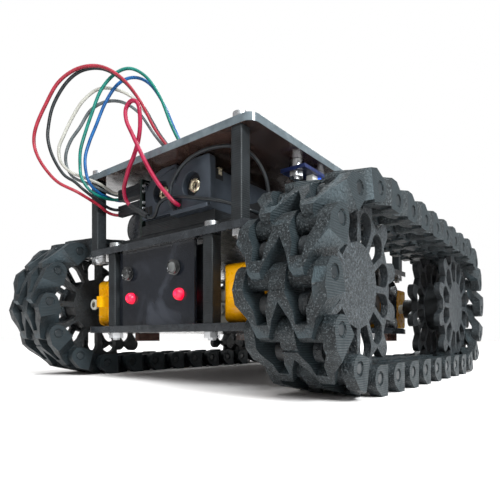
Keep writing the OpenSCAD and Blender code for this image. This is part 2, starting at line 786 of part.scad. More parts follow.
module inner_disc(side, end) {
    color("#232629") at_wheel(side, end) difference() {
        union() {
            stand_x(-disc_out, -disc_in) disc_plan();
            rod_x(drum_r, -disc_in, disc_in);
            rod_x(boss_r, -boss_in, -disc_out);
        }
        rod_x(spigot_r, disc_in - spigot_l - 0.5, disc_in + 1);
        rod_x(shaft_r + 0.02, -boss_in - 1, -bore_end);
        translate([-clamp_x, 0, 0]) rod_y(clamp_r + 0.05, -boss_r - 1, 0);
    }
}

// Drive shaft with flats on its ends, and the screw that clamps the wheel's boss to it
module drive_shaft(side, end) {
    x1 = gear_x + shaft_len / 2 - track_x;
    x0 = x1 - shaft_len;
    flat_x = gear_x - track_x + gear_w / 2;
    color("#e4e2da") at_wheel(side, end) {
        difference() {
            rod_x(shaft_r, x0, x1);
            for (s = [-1, 1], x = [[flat_x + 0.8, flat_x + 20.8], [x0 - 1, x0 + 8.2]])
                box([x[0], min(s * shaft_flat, s * 4), -4], [x[1], max(s * shaft_flat, s * 4), 4]);
        }
        translate([-clamp_x, 0, 0]) {
            rod_y(clamp_r, -boss_r, -shaft_flat);
            rod_y(2.7, -boss_r - 1.9, -boss_r);
        }
    }
}

// ---------------------------------------------------------------- wires

module jumper(route, tint) {
    color(tint) tube(route, jumper_r);
}

module housing(x, y, z) {
    box([x, y - housing_w / 2, z - housing_w / 2], [x + housing_l, y + housing_w / 2, z + housing_w / 2]);
}

module jumper_housings() {
    color("#17181a") {
        for (p = jumper_plugs) housing(plug_x, header_y[p[0]], header_z + p[1] * pin_gap);
        for (p = jumper_ends) housing(p[0], p[1], jumper_end_z);
    }
}

module lead_sleeve() {
    a = sleeve_ends[0];
    v = sleeve_ends[1] - a;
    color("#17181a") translate(a) rotate([0, acos(v[2] / norm(v)), atan2(v[1], v[0])])
        cylinder(r = sleeve_r, h = norm(v));
}

// ---------------------------------------------------------------- nodes

bottom_plate();
middle_plate();
deck_tray();
top_plate();
posts(lower_post_x, lower_z, middle_z);  // lower_posts
posts(upper_post_x, upper_z, top_z);  // upper_posts
post_bolts();
sensor_panel();
sensor_board();
ir_receivers();
signal_leds();
gearbox(right, front);  // front_right_gearbox
gearbox(left, front);  // front_left_gearbox
gearbox(right, rear);  // rear_right_gearbox
gearbox(left, rear);  // rear_left_gearbox
motor_cans();
motor_caps();
motor_brackets();
bracket_bolts();
battery_riser();
battery_holder(holder_x[0], holder_y[0], holder_lift[0]);  // right_battery_holder
battery_holder(holder_x[1], holder_y[1], holder_lift[1]);  // left_battery_holder
battery_cells();
battery_contacts();
driver_board();
capacitor();
side_board();
terminal_block();
track(right, 0, run_links);  // right_track_top
track(right, run_links, arc_links);  // right_track_rear
track(right, run_links + arc_links, run_links);  // right_track_bottom
track(right, 2 * run_links + arc_links, arc_links);  // right_track_front
track(left, 0, run_links);  // left_track_top
track(left, run_links, arc_links);  // left_track_rear
track(left, run_links + arc_links, run_links);  // left_track_bottom
track(left, 2 * run_links + arc_links, arc_links);  // left_track_front
track_pins();
outer_disc(right, front);  // front_right_outer_disc
inner_disc(right, front);  // front_right_inner_disc
drive_shaft(right, front);  // front_right_shaft
outer_disc(left, front);  // front_left_outer_disc
inner_disc(left, front);  // front_left_inner_disc
drive_shaft(left, front);  // front_left_shaft
outer_disc(right, rear);  // rear_right_outer_disc
inner_disc(right, rear);  // rear_right_inner_disc
drive_shaft(right, rear);  // rear_right_shaft
outer_disc(left, rear);  // rear_left_outer_disc
inner_disc(left, rear);  // rear_left_inner_disc
drive_shaft(left, rear);  // rear_left_shaft
jumper(red_route, "#c8384a");  // jumper_red
jumper(black_route, "#2c3238");  // jumper_black
jumper(white_route, "#e8e6dc");  // jumper_white
jumper(grey_route, "#6d7678");  // jumper_grey
jumper(green_route, "#0f8f7c");  // jumper_green
jumper(blue_route, "#2f7fd0");  // jumper_blue
jumper_housings();
color("#e04068") tube(lead_red_route, lead_r);  // battery_lead_red
color("#22262a") tube(lead_black_route, jumper_r);  // battery_lead_black
color("#22262a") tube(link_route, jumper_r);  // link_lead_black
lead_sleeve();
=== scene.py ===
"""Looks of a tracked tank chassis for small robots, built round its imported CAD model.

X is across the chassis, -Y is the front with the sensor panel, +Z is up. Shapes are drawn
in millimetres and scaled to metres when each piece is made.
"""

import json
import math

import bmesh
import bpy
from mathutils import Matrix, Vector

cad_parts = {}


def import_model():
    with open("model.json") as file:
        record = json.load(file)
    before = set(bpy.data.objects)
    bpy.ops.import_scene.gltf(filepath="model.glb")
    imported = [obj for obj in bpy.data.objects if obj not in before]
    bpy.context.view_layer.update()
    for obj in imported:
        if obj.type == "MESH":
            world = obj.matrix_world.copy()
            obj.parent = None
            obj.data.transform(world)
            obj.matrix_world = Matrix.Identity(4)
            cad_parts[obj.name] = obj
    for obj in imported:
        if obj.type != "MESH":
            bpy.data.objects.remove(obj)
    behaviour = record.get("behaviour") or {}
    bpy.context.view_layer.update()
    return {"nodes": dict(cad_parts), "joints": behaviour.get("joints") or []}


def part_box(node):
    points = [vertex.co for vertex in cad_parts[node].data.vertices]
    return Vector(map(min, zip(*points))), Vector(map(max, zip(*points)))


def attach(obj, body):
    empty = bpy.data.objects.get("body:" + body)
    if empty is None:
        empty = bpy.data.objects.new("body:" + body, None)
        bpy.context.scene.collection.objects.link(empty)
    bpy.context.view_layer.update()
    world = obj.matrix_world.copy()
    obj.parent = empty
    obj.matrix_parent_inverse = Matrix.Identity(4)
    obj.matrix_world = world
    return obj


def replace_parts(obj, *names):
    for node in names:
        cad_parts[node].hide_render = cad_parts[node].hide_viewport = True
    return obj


MM = 0.001
TO_METRES = Matrix.Scale(MM, 4)

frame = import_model()
NODES = frame["nodes"]
scene = bpy.context.scene

WHEELS = ("front_right", "front_left", "rear_right", "rear_left")
CHASSIS = "chassis"


def corners(node):
    """The lowest and highest corner of a CAD node's box, in millimetres."""
    low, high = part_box(node)
    return low / MM, high / MM


def placed(name, data):
    """A new object with that data, put in the scene."""
    made = bpy.data.objects.new(name, data)
    scene.collection.objects.link(made)
    return made


# ------------------------ camera

CAMERA_AT = Vector((143.5, -191.0, 18.75)) * MM
CAMERA_LOOKS = Vector((-0.6028, 0.7979, -0.0021))
SENSOR = 36
LENS = 30.9
SHIFT = (-0.036, 0.178)
CLIP_START = 0.01


def add_camera():
    """The one camera, placed by where it stands and the way it looks."""
    data = bpy.data.cameras.new("camera")
    data.sensor_width = SENSOR
    data.lens = LENS
    data.shift_x, data.shift_y = SHIFT
    data.clip_start = CLIP_START
    camera = placed("camera", data)
    camera.location = CAMERA_AT
    camera.rotation_euler = CAMERA_LOOKS.to_track_quat("-Z", "Y").to_euler()
    scene.camera = camera


add_camera()

# ------------------------ materials

COAT_ROUGHNESS = 0.12
ROUGHNESS_SCALE = 300


def scaled(colour, factor, plus=0.0):
    """A colour made lighter or darker, held to 1."""
    return tuple(min(1.0, factor * c + plus) for c in colour)


class Surface:
    """A procedural material, put together from layers of colour and relief."""

    def __init__(self, name, roughness, metallic=0.0, coat=0.0, specular=0.5):
        self.material = bpy.data.materials.new(name)
        self.material.use_nodes = True
        self.tree = self.material.node_tree
        self.shader = self.tree.nodes["Principled BSDF"]
        self.shader.inputs["Metallic"].default_value = metallic
        self.shader.inputs["Coat Weight"].default_value = coat
        self.shader.inputs["Coat Roughness"].default_value = COAT_ROUGHNESS
        self.shader.inputs["Specular IOR Level"].default_value = specular
        self.coords = self.tree.nodes.new("ShaderNodeTexCoord")
        self.colour = None
        self.normal = None
        low, high = roughness
        self.link(self.ranged(self.noise(ROUGHNESS_SCALE, 3), 0.3, 0.7, low, high), "Roughness")

    def node(self, kind, **values):
        """Adds a node and sets its properties."""
        made = self.tree.nodes.new(kind)
        for key, value in values.items():
            setattr(made, key, value)
        return made

    def link(self, output, name):
        """Joins an output to one of the shader's own inputs."""
        self.tree.links.new(output, self.shader.inputs[name])

    def join(self, output, socket):
        """Joins an output to any input."""
        self.tree.links.new(output, socket)

    def noise(self, scale, detail, distortion=0.0):
        """Cloudy noise; a higher scale makes it finer."""
        made = self.node("ShaderNodeTexNoise")
        made.inputs["Scale"].default_value = scale
        made.inputs["Detail"].default_value = detail
        made.inputs["Distortion"].default_value = distortion
        self.join(self.coords.outputs["Object"], made.inputs["Vector"])
        return made.outputs["Fac"]

    def bands(self, axis, period_mm, distortion=1.0):
        """Fine parallel lines, as a printer's layers leave."""
        made = self.node("ShaderNodeTexWave", bands_direction=axis)
        made.inputs["Scale"].default_value = math.pi / 10 / (period_mm * MM)
        made.inputs["Distortion"].default_value = distortion
        made.inputs["Detail"].default_value = 1.0
        made.inputs["Detail Scale"].default_value = 0.3
        self.join(self.coords.outputs["Object"], made.inputs["Vector"])
        return made.outputs["Fac"]

    def ranged(self, value, low, high, to_low=0.0, to_high=1.0):
        """Stretches a value from one range to another, held to its ends."""
        made = self.node("ShaderNodeMapRange")
        self.join(value, made.inputs["Value"])
        for name, number in (
            ("From Min", low), ("From Max", high), ("To Min", to_low), ("To Max", to_high),
        ):
            made.inputs[name].default_value = number
        return made.outputs["Result"]

    def product(self, one, other):
        """One value times another."""
        made = self.node("ShaderNodeMath", operation="MULTIPLY")
        self.join(one, made.inputs[0])
        self.join(other, made.inputs[1])
        return made.outputs["Value"]

    def facing(self, axis, low=0.8, high=0.95):
        """1 on the faces that look along that axis, either way, and 0 elsewhere."""
        split = self.node("ShaderNodeSeparateXYZ")
        self.join(self.coords.outputs["Normal"], split.inputs["Vector"])
        size = self.node("ShaderNodeMath", operation="ABSOLUTE")
        self.join(split.outputs[axis], size.inputs[0])
        return self.ranged(size.outputs["Value"], low, high)

    def base(self, dark, light, scale, detail=3.0):
        """The first layer: two colours, mixed by noise."""
        self.colour = self.mixed(self.ranged(self.noise(scale, detail), 0.35, 0.65), dark, light)
        return self

    def mixed(self, share, under, over):
        """One colour where share is 0, the other where it is 1; each a colour or an output."""
        made = self.node("ShaderNodeMix", data_type="RGBA")
        self.join(share, made.inputs["Factor"])
        for socket, value in (("A_Color", under), ("B_Color", over)):
            target = next(i for i in made.inputs if i.identifier == socket)
            if isinstance(value, tuple):
                target.default_value = (*value, 1.0)
            else:
                self.join(value, target)
        return next(o for o in made.outputs if o.identifier == "Result_Color")

    def over(self, share, colour):
        """Lays a colour over the ones so far, where share is 1."""
        self.colour = self.mixed(share, self.colour, colour)
        return self

    def painted_edge_highlight(self, share, colour, low=0.58, high=0.7):
        """Lays a lighter colour over convex edges: a painted edge highlight."""
        geometry = self.node("ShaderNodeNewGeometry")
        edge = self.ranged(geometry.outputs["Pointiness"], low, high)
        return self.over(self.ranged(edge, 0.0, 1.0, 0.0, share), colour)

    def relief(self, height, depth_mm):
        """Raises the surface by up to that depth; later reliefs add to earlier ones."""
        made = self.node("ShaderNodeBump")
        made.inputs["Strength"].default_value = 1.0
        made.inputs["Distance"].default_value = depth_mm * MM
        self.join(height, made.inputs["Height"])
        if self.normal is not None:
            self.join(self.normal, made.inputs["Normal"])
        self.normal = made.outputs["Normal"]
        return self

    def done(self):
        """Joins the layers to the shader."""
        self.link(self.colour, "Base Color")
        if self.normal is not None:
            self.link(self.normal, "Normal")
        return self.material


def track_material(name, dark, light, painted_glint, grain_mm):
    """Printed rubber-black plastic: rough on the tread, where its sparkle is painted glints and a painted
    edge highlight, and layered on the sides.
    """
    s = Surface(name, (0.36, 0.62), specular=0.34).base(dark, light, 160)
    side = s.facing("X")
    tread = s.ranged(side, 0.0, 1.0, 1.0, 0.1)
    # painted glint: light specks over the tread faces
    s.over(s.product(s.ranged(s.noise(2100, 3), 0.54, 0.72), tread), painted_glint)
    # painted highlight along the convex edges
    s.painted_edge_highlight(0.9, scaled(light, 3.2), 0.57, 0.68)
    layers = s.bands("Z", 0.7)
    s.over(side, s.mixed(s.ranged(layers, 0.2, 0.8), light, scaled(light, 1.45)))
    s.relief(s.product(s.noise(1300, 4), tread), grain_mm)
    s.relief(s.product(layers, side), 0.07)
    return s.done()


def disc_material(name, dark, light, painted_glint, grain_mm):
    """A printed face with a coarse hammered texture, and painted highlights on its raised spots."""
    s = Surface(name, (0.34, 0.56), specular=0.5).base(dark, light, 220)
    hammered = s.noise(1350, 2, 0.8)
    # painted highlight: lighter colour on the raised spots of the hammered relief, on faces looking along X
    s.over(s.product(s.ranged(hammered, 0.48, 0.64), s.facing("X")), painted_glint)
    s.relief(hammered, grain_mm)
    return s.done()


def printed_material(name, dark, light, period=0.8):
    """Smooth printed plastic with level layer lines, that many millimetres apart."""
    s = Surface(name, (0.42, 0.62), specular=0.35).base(dark, light, 140)
    lines = s.bands("Z", period, 1.5)
    s.over(s.ranged(lines, 0.75, 1.0, 0.0, 0.35), light)
    # painted highlight along the convex edges
    s.painted_edge_highlight(0.5, scaled(light, 1.8))
    s.relief(lines, 0.05)
    s.relief(s.noise(2500, 2), 0.02)
    return s.done()


def plate_material(name, face, face_light, edge, edge_light, rough=(0.12, 0.3)):
    """Cut sheet: polished faces, and cloudy, slightly rough sawn edges."""
    s = Surface(name, rough, coat=0.4, specular=0.4).base(face, face_light, 60, 4)
    rim = s.ranged(s.facing("Z", 0.6, 0.9), 0.0, 1.0, 1.0, 0.0)
    s.over(rim, s.mixed(s.ranged(s.noise(260, 3), 0.3, 0.7), edge, edge_light))
    s.relief(s.product(s.noise(1600, 2), rim), 0.015)
    s.relief(s.noise(1800, 2), 0.006)
    return s.done()


def bracket_material(name):
    """Smoked brown sheet, painted nearly black between the plates as painted shade, and left brown on its
    feet, where they stand in the light.
    """
    s = Surface(name, (0.14, 0.3), coat=0.3, specular=0.4)
    # painted shade: the sheet is painted nearly black everywhere but its lit feet
    s.base((0.004, 0.0042, 0.005), (0.01, 0.01, 0.012), 90)
    split = s.node("ShaderNodeSeparateXYZ")
    s.join(s.coords.outputs["Object"], split.inputs["Vector"])
    foot_top = corners("bottom_plate")[0].z
    # the sheet's own brown, kept only below the bottom plate, where the feet stand in the light
    lit_foot_mask = s.ranged(split.outputs["Z"], (foot_top + 1) * MM, (foot_top - 0.5) * MM)
    brown = s.mixed(s.ranged(s.noise(300, 3), 0.3, 0.7), (0.06, 0.022, 0.014), (0.11, 0.045, 0.03))
    s.over(lit_foot_mask, brown)
    s.relief(s.noise(900, 3), 0.015)
    return s.done()


def moulded_material(name, dark, light, rough=(0.25, 0.42), grain=0.012, coat=0.0):
    """Moulded plastic with a faint grain and a painted highlight on its convex edges."""
    s = Surface(name, rough, coat=coat, specular=0.4).base(dark, light, 90)
    # painted highlight along the convex edges
    s.painted_edge_highlight(0.5, scaled(light, 1.5, 0.006))
    s.relief(s.noise(3000, 2), grain)
    s.relief(s.noise(120, 2), 0.05)
    return s.done()


def metal_material(name, dark, light, rough=(0.22, 0.4)):
    """Turned or plated metal with fine drawing lines."""
    s = Surface(name, rough, metallic=1.0).base(dark, light, 250, 5)
    s.over(s.ranged(s.noise(900, 4), 0.62, 0.75, 0.0, 0.45), scaled(dark, 0.55))
    s.relief(s.bands("Y", 0.35, 3.0), 0.006)
    s.relief(s.noise(700, 4), 0.02)
    return s.done()


def wire_material(name, dark, light):
    """Soft extruded insulation."""
    s = Surface(name, (0.3, 0.44), coat=0.06, specular=0.28).base(dark, light, 260, 3)
    s.over(s.ranged(s.noise(1500, 3), 0.64, 0.72, 0.0, 0.3), scaled(dark, 0.6))
    s.relief(s.noise(900, 3), 0.03)
    return s.done()


def board_material(name, dark, light):
    """Solder mask with faint traces under it."""
    s = Surface(name, (0.28, 0.42), coat=0.25, specular=0.4).base(dark, light, 200)
    trace = s.product(s.bands("Z", 1.9, 6.0), s.bands("Y", 2.4, 6.0))
    s.over(s.ranged(trace, 0.42, 0.5, 0.0, 0.6), scaled(light, 1.7))
    s.relief(trace, 0.03)
    return s.done()


def panel_material(name):
    """Polished black sheet with a soft cloud of smudges, and a painted highlight on its edges."""
    s = Surface(name, (0.1, 0.2), coat=0.25, specular=0.4)
    s.base((0.0065, 0.0078, 0.0115), (0.0125, 0.0145, 0.0195), 45, 5)
    s.over(s.ranged(s.noise(38, 3, 1.2), 0.5, 0.68, 0.0, 0.75), (0.045, 0.05, 0.063))
    # painted highlight along the edges
    s.painted_edge_highlight(0.8, (0.09, 0.095, 0.11))
    s.relief(s.noise(60, 3), 0.05)
    return s.done()


def lamp_material(name, colour, glow):
    """A lit indicator: clear epoxy that glows."""
    s = Surface(name, (0.08, 0.14), coat=0.25, specular=0.3)
    s.base(colour, scaled(colour, 1.3, 0.02), 400)
    s.relief(s.noise(500, 2), 0.01)
    s.link(s.colour, "Emission Color")
    s.shader.inputs["Emission Strength"].default_value = glow
    return s.done()


def floor_material():
    """Plain pale matt ground, tinted against the cool lights so that it looks white."""
    s = Surface("floor", (0.7, 0.85), specular=0.1)
    return s.base((0.945, 0.9, 0.885), (0.965, 0.92, 0.905), 8).done()


MATERIAL = {
    # Printed parts
    # The third colour of each track and disc entry is its painted glint colour.
    "track": track_material(
        "track", (0.0035, 0.0055, 0.0068), (0.0145, 0.0205, 0.0235), (0.1, 0.116, 0.124), 0.7),
    "track_left": track_material(
        "track_left", (0.0045, 0.0065, 0.008), (0.014, 0.02, 0.0235), (0.045, 0.054, 0.06), 0.25),
    "disc_grey": disc_material(
        "disc_grey", (0.0075, 0.01, 0.012), (0.015, 0.0195, 0.023), (0.072, 0.086, 0.095), 0.7),
    "disc_black": disc_material(
        "disc_black", (0.005, 0.006, 0.0068), (0.011, 0.0125, 0.014), (0.022, 0.0245, 0.027), 0.3),
    "pin": moulded_material("pin", (0.012, 0.015, 0.017), (0.028, 0.034, 0.038)),
    "post": printed_material("post", (0.0055, 0.007, 0.0082), (0.0135, 0.0165, 0.019)),
    "tray": printed_material("tray", (0.0045, 0.0055, 0.0068), (0.0105, 0.0125, 0.0145), 0.9),
    "riser": printed_material("riser", (0.0045, 0.0055, 0.0068), (0.0105, 0.0125, 0.0145), 0.7),
    # Sheet
    "deck": plate_material("deck", (0.005, 0.0056, 0.0068), (0.01, 0.011, 0.0132),
                           (0.013, 0.015, 0.018), (0.028, 0.032, 0.037)),
    "deck_top": plate_material("deck_top", (0.03, 0.018, 0.015), (0.065, 0.038, 0.031),
                               (0.075, 0.095, 0.108), (0.13, 0.158, 0.175), (0.1, 0.24)),
    # Painted shade: the smoked brown sheet is painted nearly black between the plates.
    "bracket": bracket_material("bracket"),
    "panel": panel_material("panel"),
    # Boards
    "pcb_dark": board_material("pcb_dark", (0.004, 0.008, 0.0065), (0.0075, 0.014, 0.0115)),
    "pcb_black": board_material("pcb_black", (0.004, 0.0045, 0.0055), (0.008, 0.009, 0.0105)),
    "pcb_blue": board_material("pcb_blue", (0.005, 0.01, 0.05), (0.009, 0.02, 0.085)),
    # Moulded parts
    "yellow": moulded_material("yellow", (0.7, 0.28, 0.0), (0.88, 0.42, 0.002), (0.22, 0.36), 0.006, 0.2),
    "nylon": moulded_material("nylon", (0.7, 0.68, 0.6), (0.82, 0.8, 0.73), (0.3, 0.45)),
    "cap_white": moulded_material("cap_white", (0.66, 0.64, 0.57), (0.8, 0.78, 0.7), (0.35, 0.5)),
    "black_plastic": moulded_material(
        "black_plastic", (0.0055, 0.006, 0.0075), (0.012, 0.0132, 0.016), (0.32, 0.5)),
    "holder": moulded_material(
        "holder", (0.0165, 0.0215, 0.029), (0.031, 0.039, 0.051), (0.32, 0.48), 0.02),
    "receiver": moulded_material(
        "receiver", (0.006, 0.006, 0.0065), (0.02, 0.02, 0.02), (0.06, 0.16), 0.02, 0.7),
    "lens_grey": moulded_material(
        "lens_grey", (0.008, 0.009, 0.01), (0.15, 0.155, 0.155), (0.03, 0.09), 0.25, 0.8),
    "wrap": moulded_material("wrap", (0.012, 0.015, 0.024), (0.024, 0.028, 0.044), (0.22, 0.36), 0.006, 0.3),
    "sleeve": moulded_material("sleeve", (0.006, 0.007, 0.008), (0.015, 0.017, 0.0195), (0.45, 0.62), 0.1),
    "can_dark": moulded_material(
        "can_dark", (0.016, 0.018, 0.022), (0.034, 0.037, 0.044), (0.22, 0.36), 0.006, 0.3),
    # Near-black, as painted shade in the holders' wire slots and notches.
    "painted_slot_shade": moulded_material("painted_slot_shade", (0.001, 0.001, 0.0012), (0.0025, 0.0025, 0.003), (0.6, 0.8)),
    "chip": moulded_material("chip", (0.005, 0.005, 0.0062), (0.01, 0.01, 0.012), (0.38, 0.52)),
    "white_plug": moulded_material("white_plug", (0.62, 0.62, 0.6), (0.76, 0.76, 0.74)),
    # Metal
    "zinc": metal_material("zinc", (0.5, 0.51, 0.52), (0.72, 0.73, 0.75)),
    "steel": metal_material("steel", (0.42, 0.43, 0.45), (0.62, 0.63, 0.65), (0.25, 0.42)),
    "nickel": metal_material("nickel", (0.58, 0.5, 0.34), (0.84, 0.76, 0.57), (0.18, 0.34)),
    # Lamps
    "led_red": lamp_material("led_red", (0.86, 0.0, 0.03), 0.6),
    "led_core": lamp_material("led_core", (0.92, 0.012, 0.07), 0.75),
    "led_blue": lamp_material("led_blue", (0.03, 0.12, 1.0), 1.2),
    # Wires
    "wire_red": wire_material("wire_red", (0.21, 0.009, 0.02), (0.29, 0.018, 0.034)),
    "wire_black": wire_material("wire_black", (0.007, 0.009, 0.0105), (0.018, 0.0215, 0.025)),
    "wire_white": wire_material("wire_white", (0.32, 0.31, 0.275), (0.43, 0.42, 0.38)),
    "wire_grey": wire_material("wire_grey", (0.065, 0.075, 0.079), (0.115, 0.13, 0.136)),
    "wire_green": wire_material("wire_green", (0.0, 0.1, 0.078), (0.003, 0.16, 0.125)),
    "wire_blue": wire_material("wire_blue", (0.002, 0.06, 0.2), (0.01, 0.105, 0.3)),
    "lead_pink": wire_material("lead_pink", (0.23, 0.003, 0.026), (0.32, 0.009, 0.047)),
}

# ------------------------ making pieces

SHARP_OVER = math.radians(35)
ROUND_OVER = math.radians(32)
FLAT_WITHIN = math.radians(1.5)
WELD_WITHIN = 1e-6


def add_piece(name, bm, body, material, round_mm=0.0):
    """Makes an object from a bmesh drawn in millimetres, and lets it ride on a body."""
    bmesh.ops.recalc_face_normals(bm, faces=bm.faces)
    bm.transform(TO_METRES)
    mesh = bpy.data.meshes.new(name)
    bm.to_mesh(mesh)
    bm.free()
    mesh.materials.append(MATERIAL[material])
    mesh.polygons.foreach_set("use_smooth", [True] * len(mesh.polygons))
    mesh.set_sharp_from_angle(angle=SHARP_OVER)
    made = placed(name, mesh)
    if round_mm:
        soften(made, round_mm)
    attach(made, body)
    return made


def soften(thing, width_mm):
    """Rounds an object's sharp edges a little, so that they catch the light."""
    bevel = thing.modifiers.new("edges", "BEVEL")
    bevel.width = width_mm * MM
    bevel.segments = 2
    bevel.limit_method = "ANGLE"
    bevel.angle_limit = ROUND_OVER
    shading = thing.modifiers.new("shading", "WEIGHTED_NORMAL")
    shading.keep_sharp = False


def dress(node, material, round_mm):
    """Gives a CAD node its material and soft edges."""
    thing = NODES[node]
    thing.data.materials.clear()
    thing.data.materials.append(MATERIAL[material])
    weld = thing.modifiers.new("weld", "WELD")
    weld.merge_threshold = WELD_WITHIN
    flat = thing.modifiers.new("flat", "DECIMATE")
    flat.decimate_type = "DISSOLVE"
    flat.angle_limit = FLAT_WITHIN
    soften(thing, round_mm)


def block(bm, low, high, turn=None):
    """Adds a box between two corners, turned about its own middle."""
    low, high = Vector(low), Vector(high)
    place = Matrix.Translation((low + high) / 2)
    if turn is not None:
        place = place @ turn
    size = Matrix.Diagonal((*(high - low), 1.0))
    return bmesh.ops.create_cube(bm, size=1.0, matrix=place @ size)["verts"]


# The turns that take +Z to each way along an axis
AXES = {
    "+X": Matrix(((0, 0, 1), (1, 0, 0), (0, 1, 0))).to_4x4(),
    "-X": Matrix(((0, 0, -1), (-1, 0, 0), (0, 1, 0))).to_4x4(),
    "+Y": Matrix(((0, -1, 0), (0, 0, 1), (-1, 0, 0))).to_4x4(),
    "-Y": Matrix(((1, 0, 0), (0, 0, -1), (0, 1, 0))).to_4x4(),
    "+Z": Matrix.Identity(4),
    "-Z": Matrix.Diagonal((1, -1, -1, 1)),
}


def turned(bm, profile, at, way, steps, ripple=None):
    """Adds a turned shape: profile holds (radius, height) points, height running along way.

    A profile that ends where it starts makes a ring. ripple is (count, share): the radius
    swells by that share, that many times round.
    """
    place = Matrix.Translation(Vector(at)) @ (AXES[way] if isinstance(way, str) else way)
    count, share = ripple or (0, 0.0)
    is_ring = profile[0] == profile[-1]
    rings = []
    for radius, height in profile[:-1] if is_ring else profile:
        if radius == 0:
            rings.append([bm.verts.new(place @ Vector((0, 0, height)))])
            continue
        ring = []
        for k in range(steps):
            angle = math.tau * k / steps
            size = radius * (1 + share * math.cos(count * angle))
            ring.append(bm.verts.new(
                place @ Vector((size * math.cos(angle), size * math.sin(angle), height))))
        rings.append(ring)
    for one, other in zip(rings, rings[1:] + rings[:1] if is_ring else rings[1:]):
        for k in range(steps):
            loop = [one[k % len(one)], one[(k + 1) % len(one)],
                    other[(k + 1) % len(other)], other[k % len(other)]]
            bm.faces.new(list(dict.fromkeys(loop)))
    for ring in (rings[0], rings[-1]):
        if len(ring) > 2 and not is_ring:
            bm.faces.new(ring)


def along(direction):
    """The rotation that takes +Z to a direction."""
    return Vector(direction).to_track_quat("Z", "Y").to_matrix().to_4x4()


# ------------------------ wires

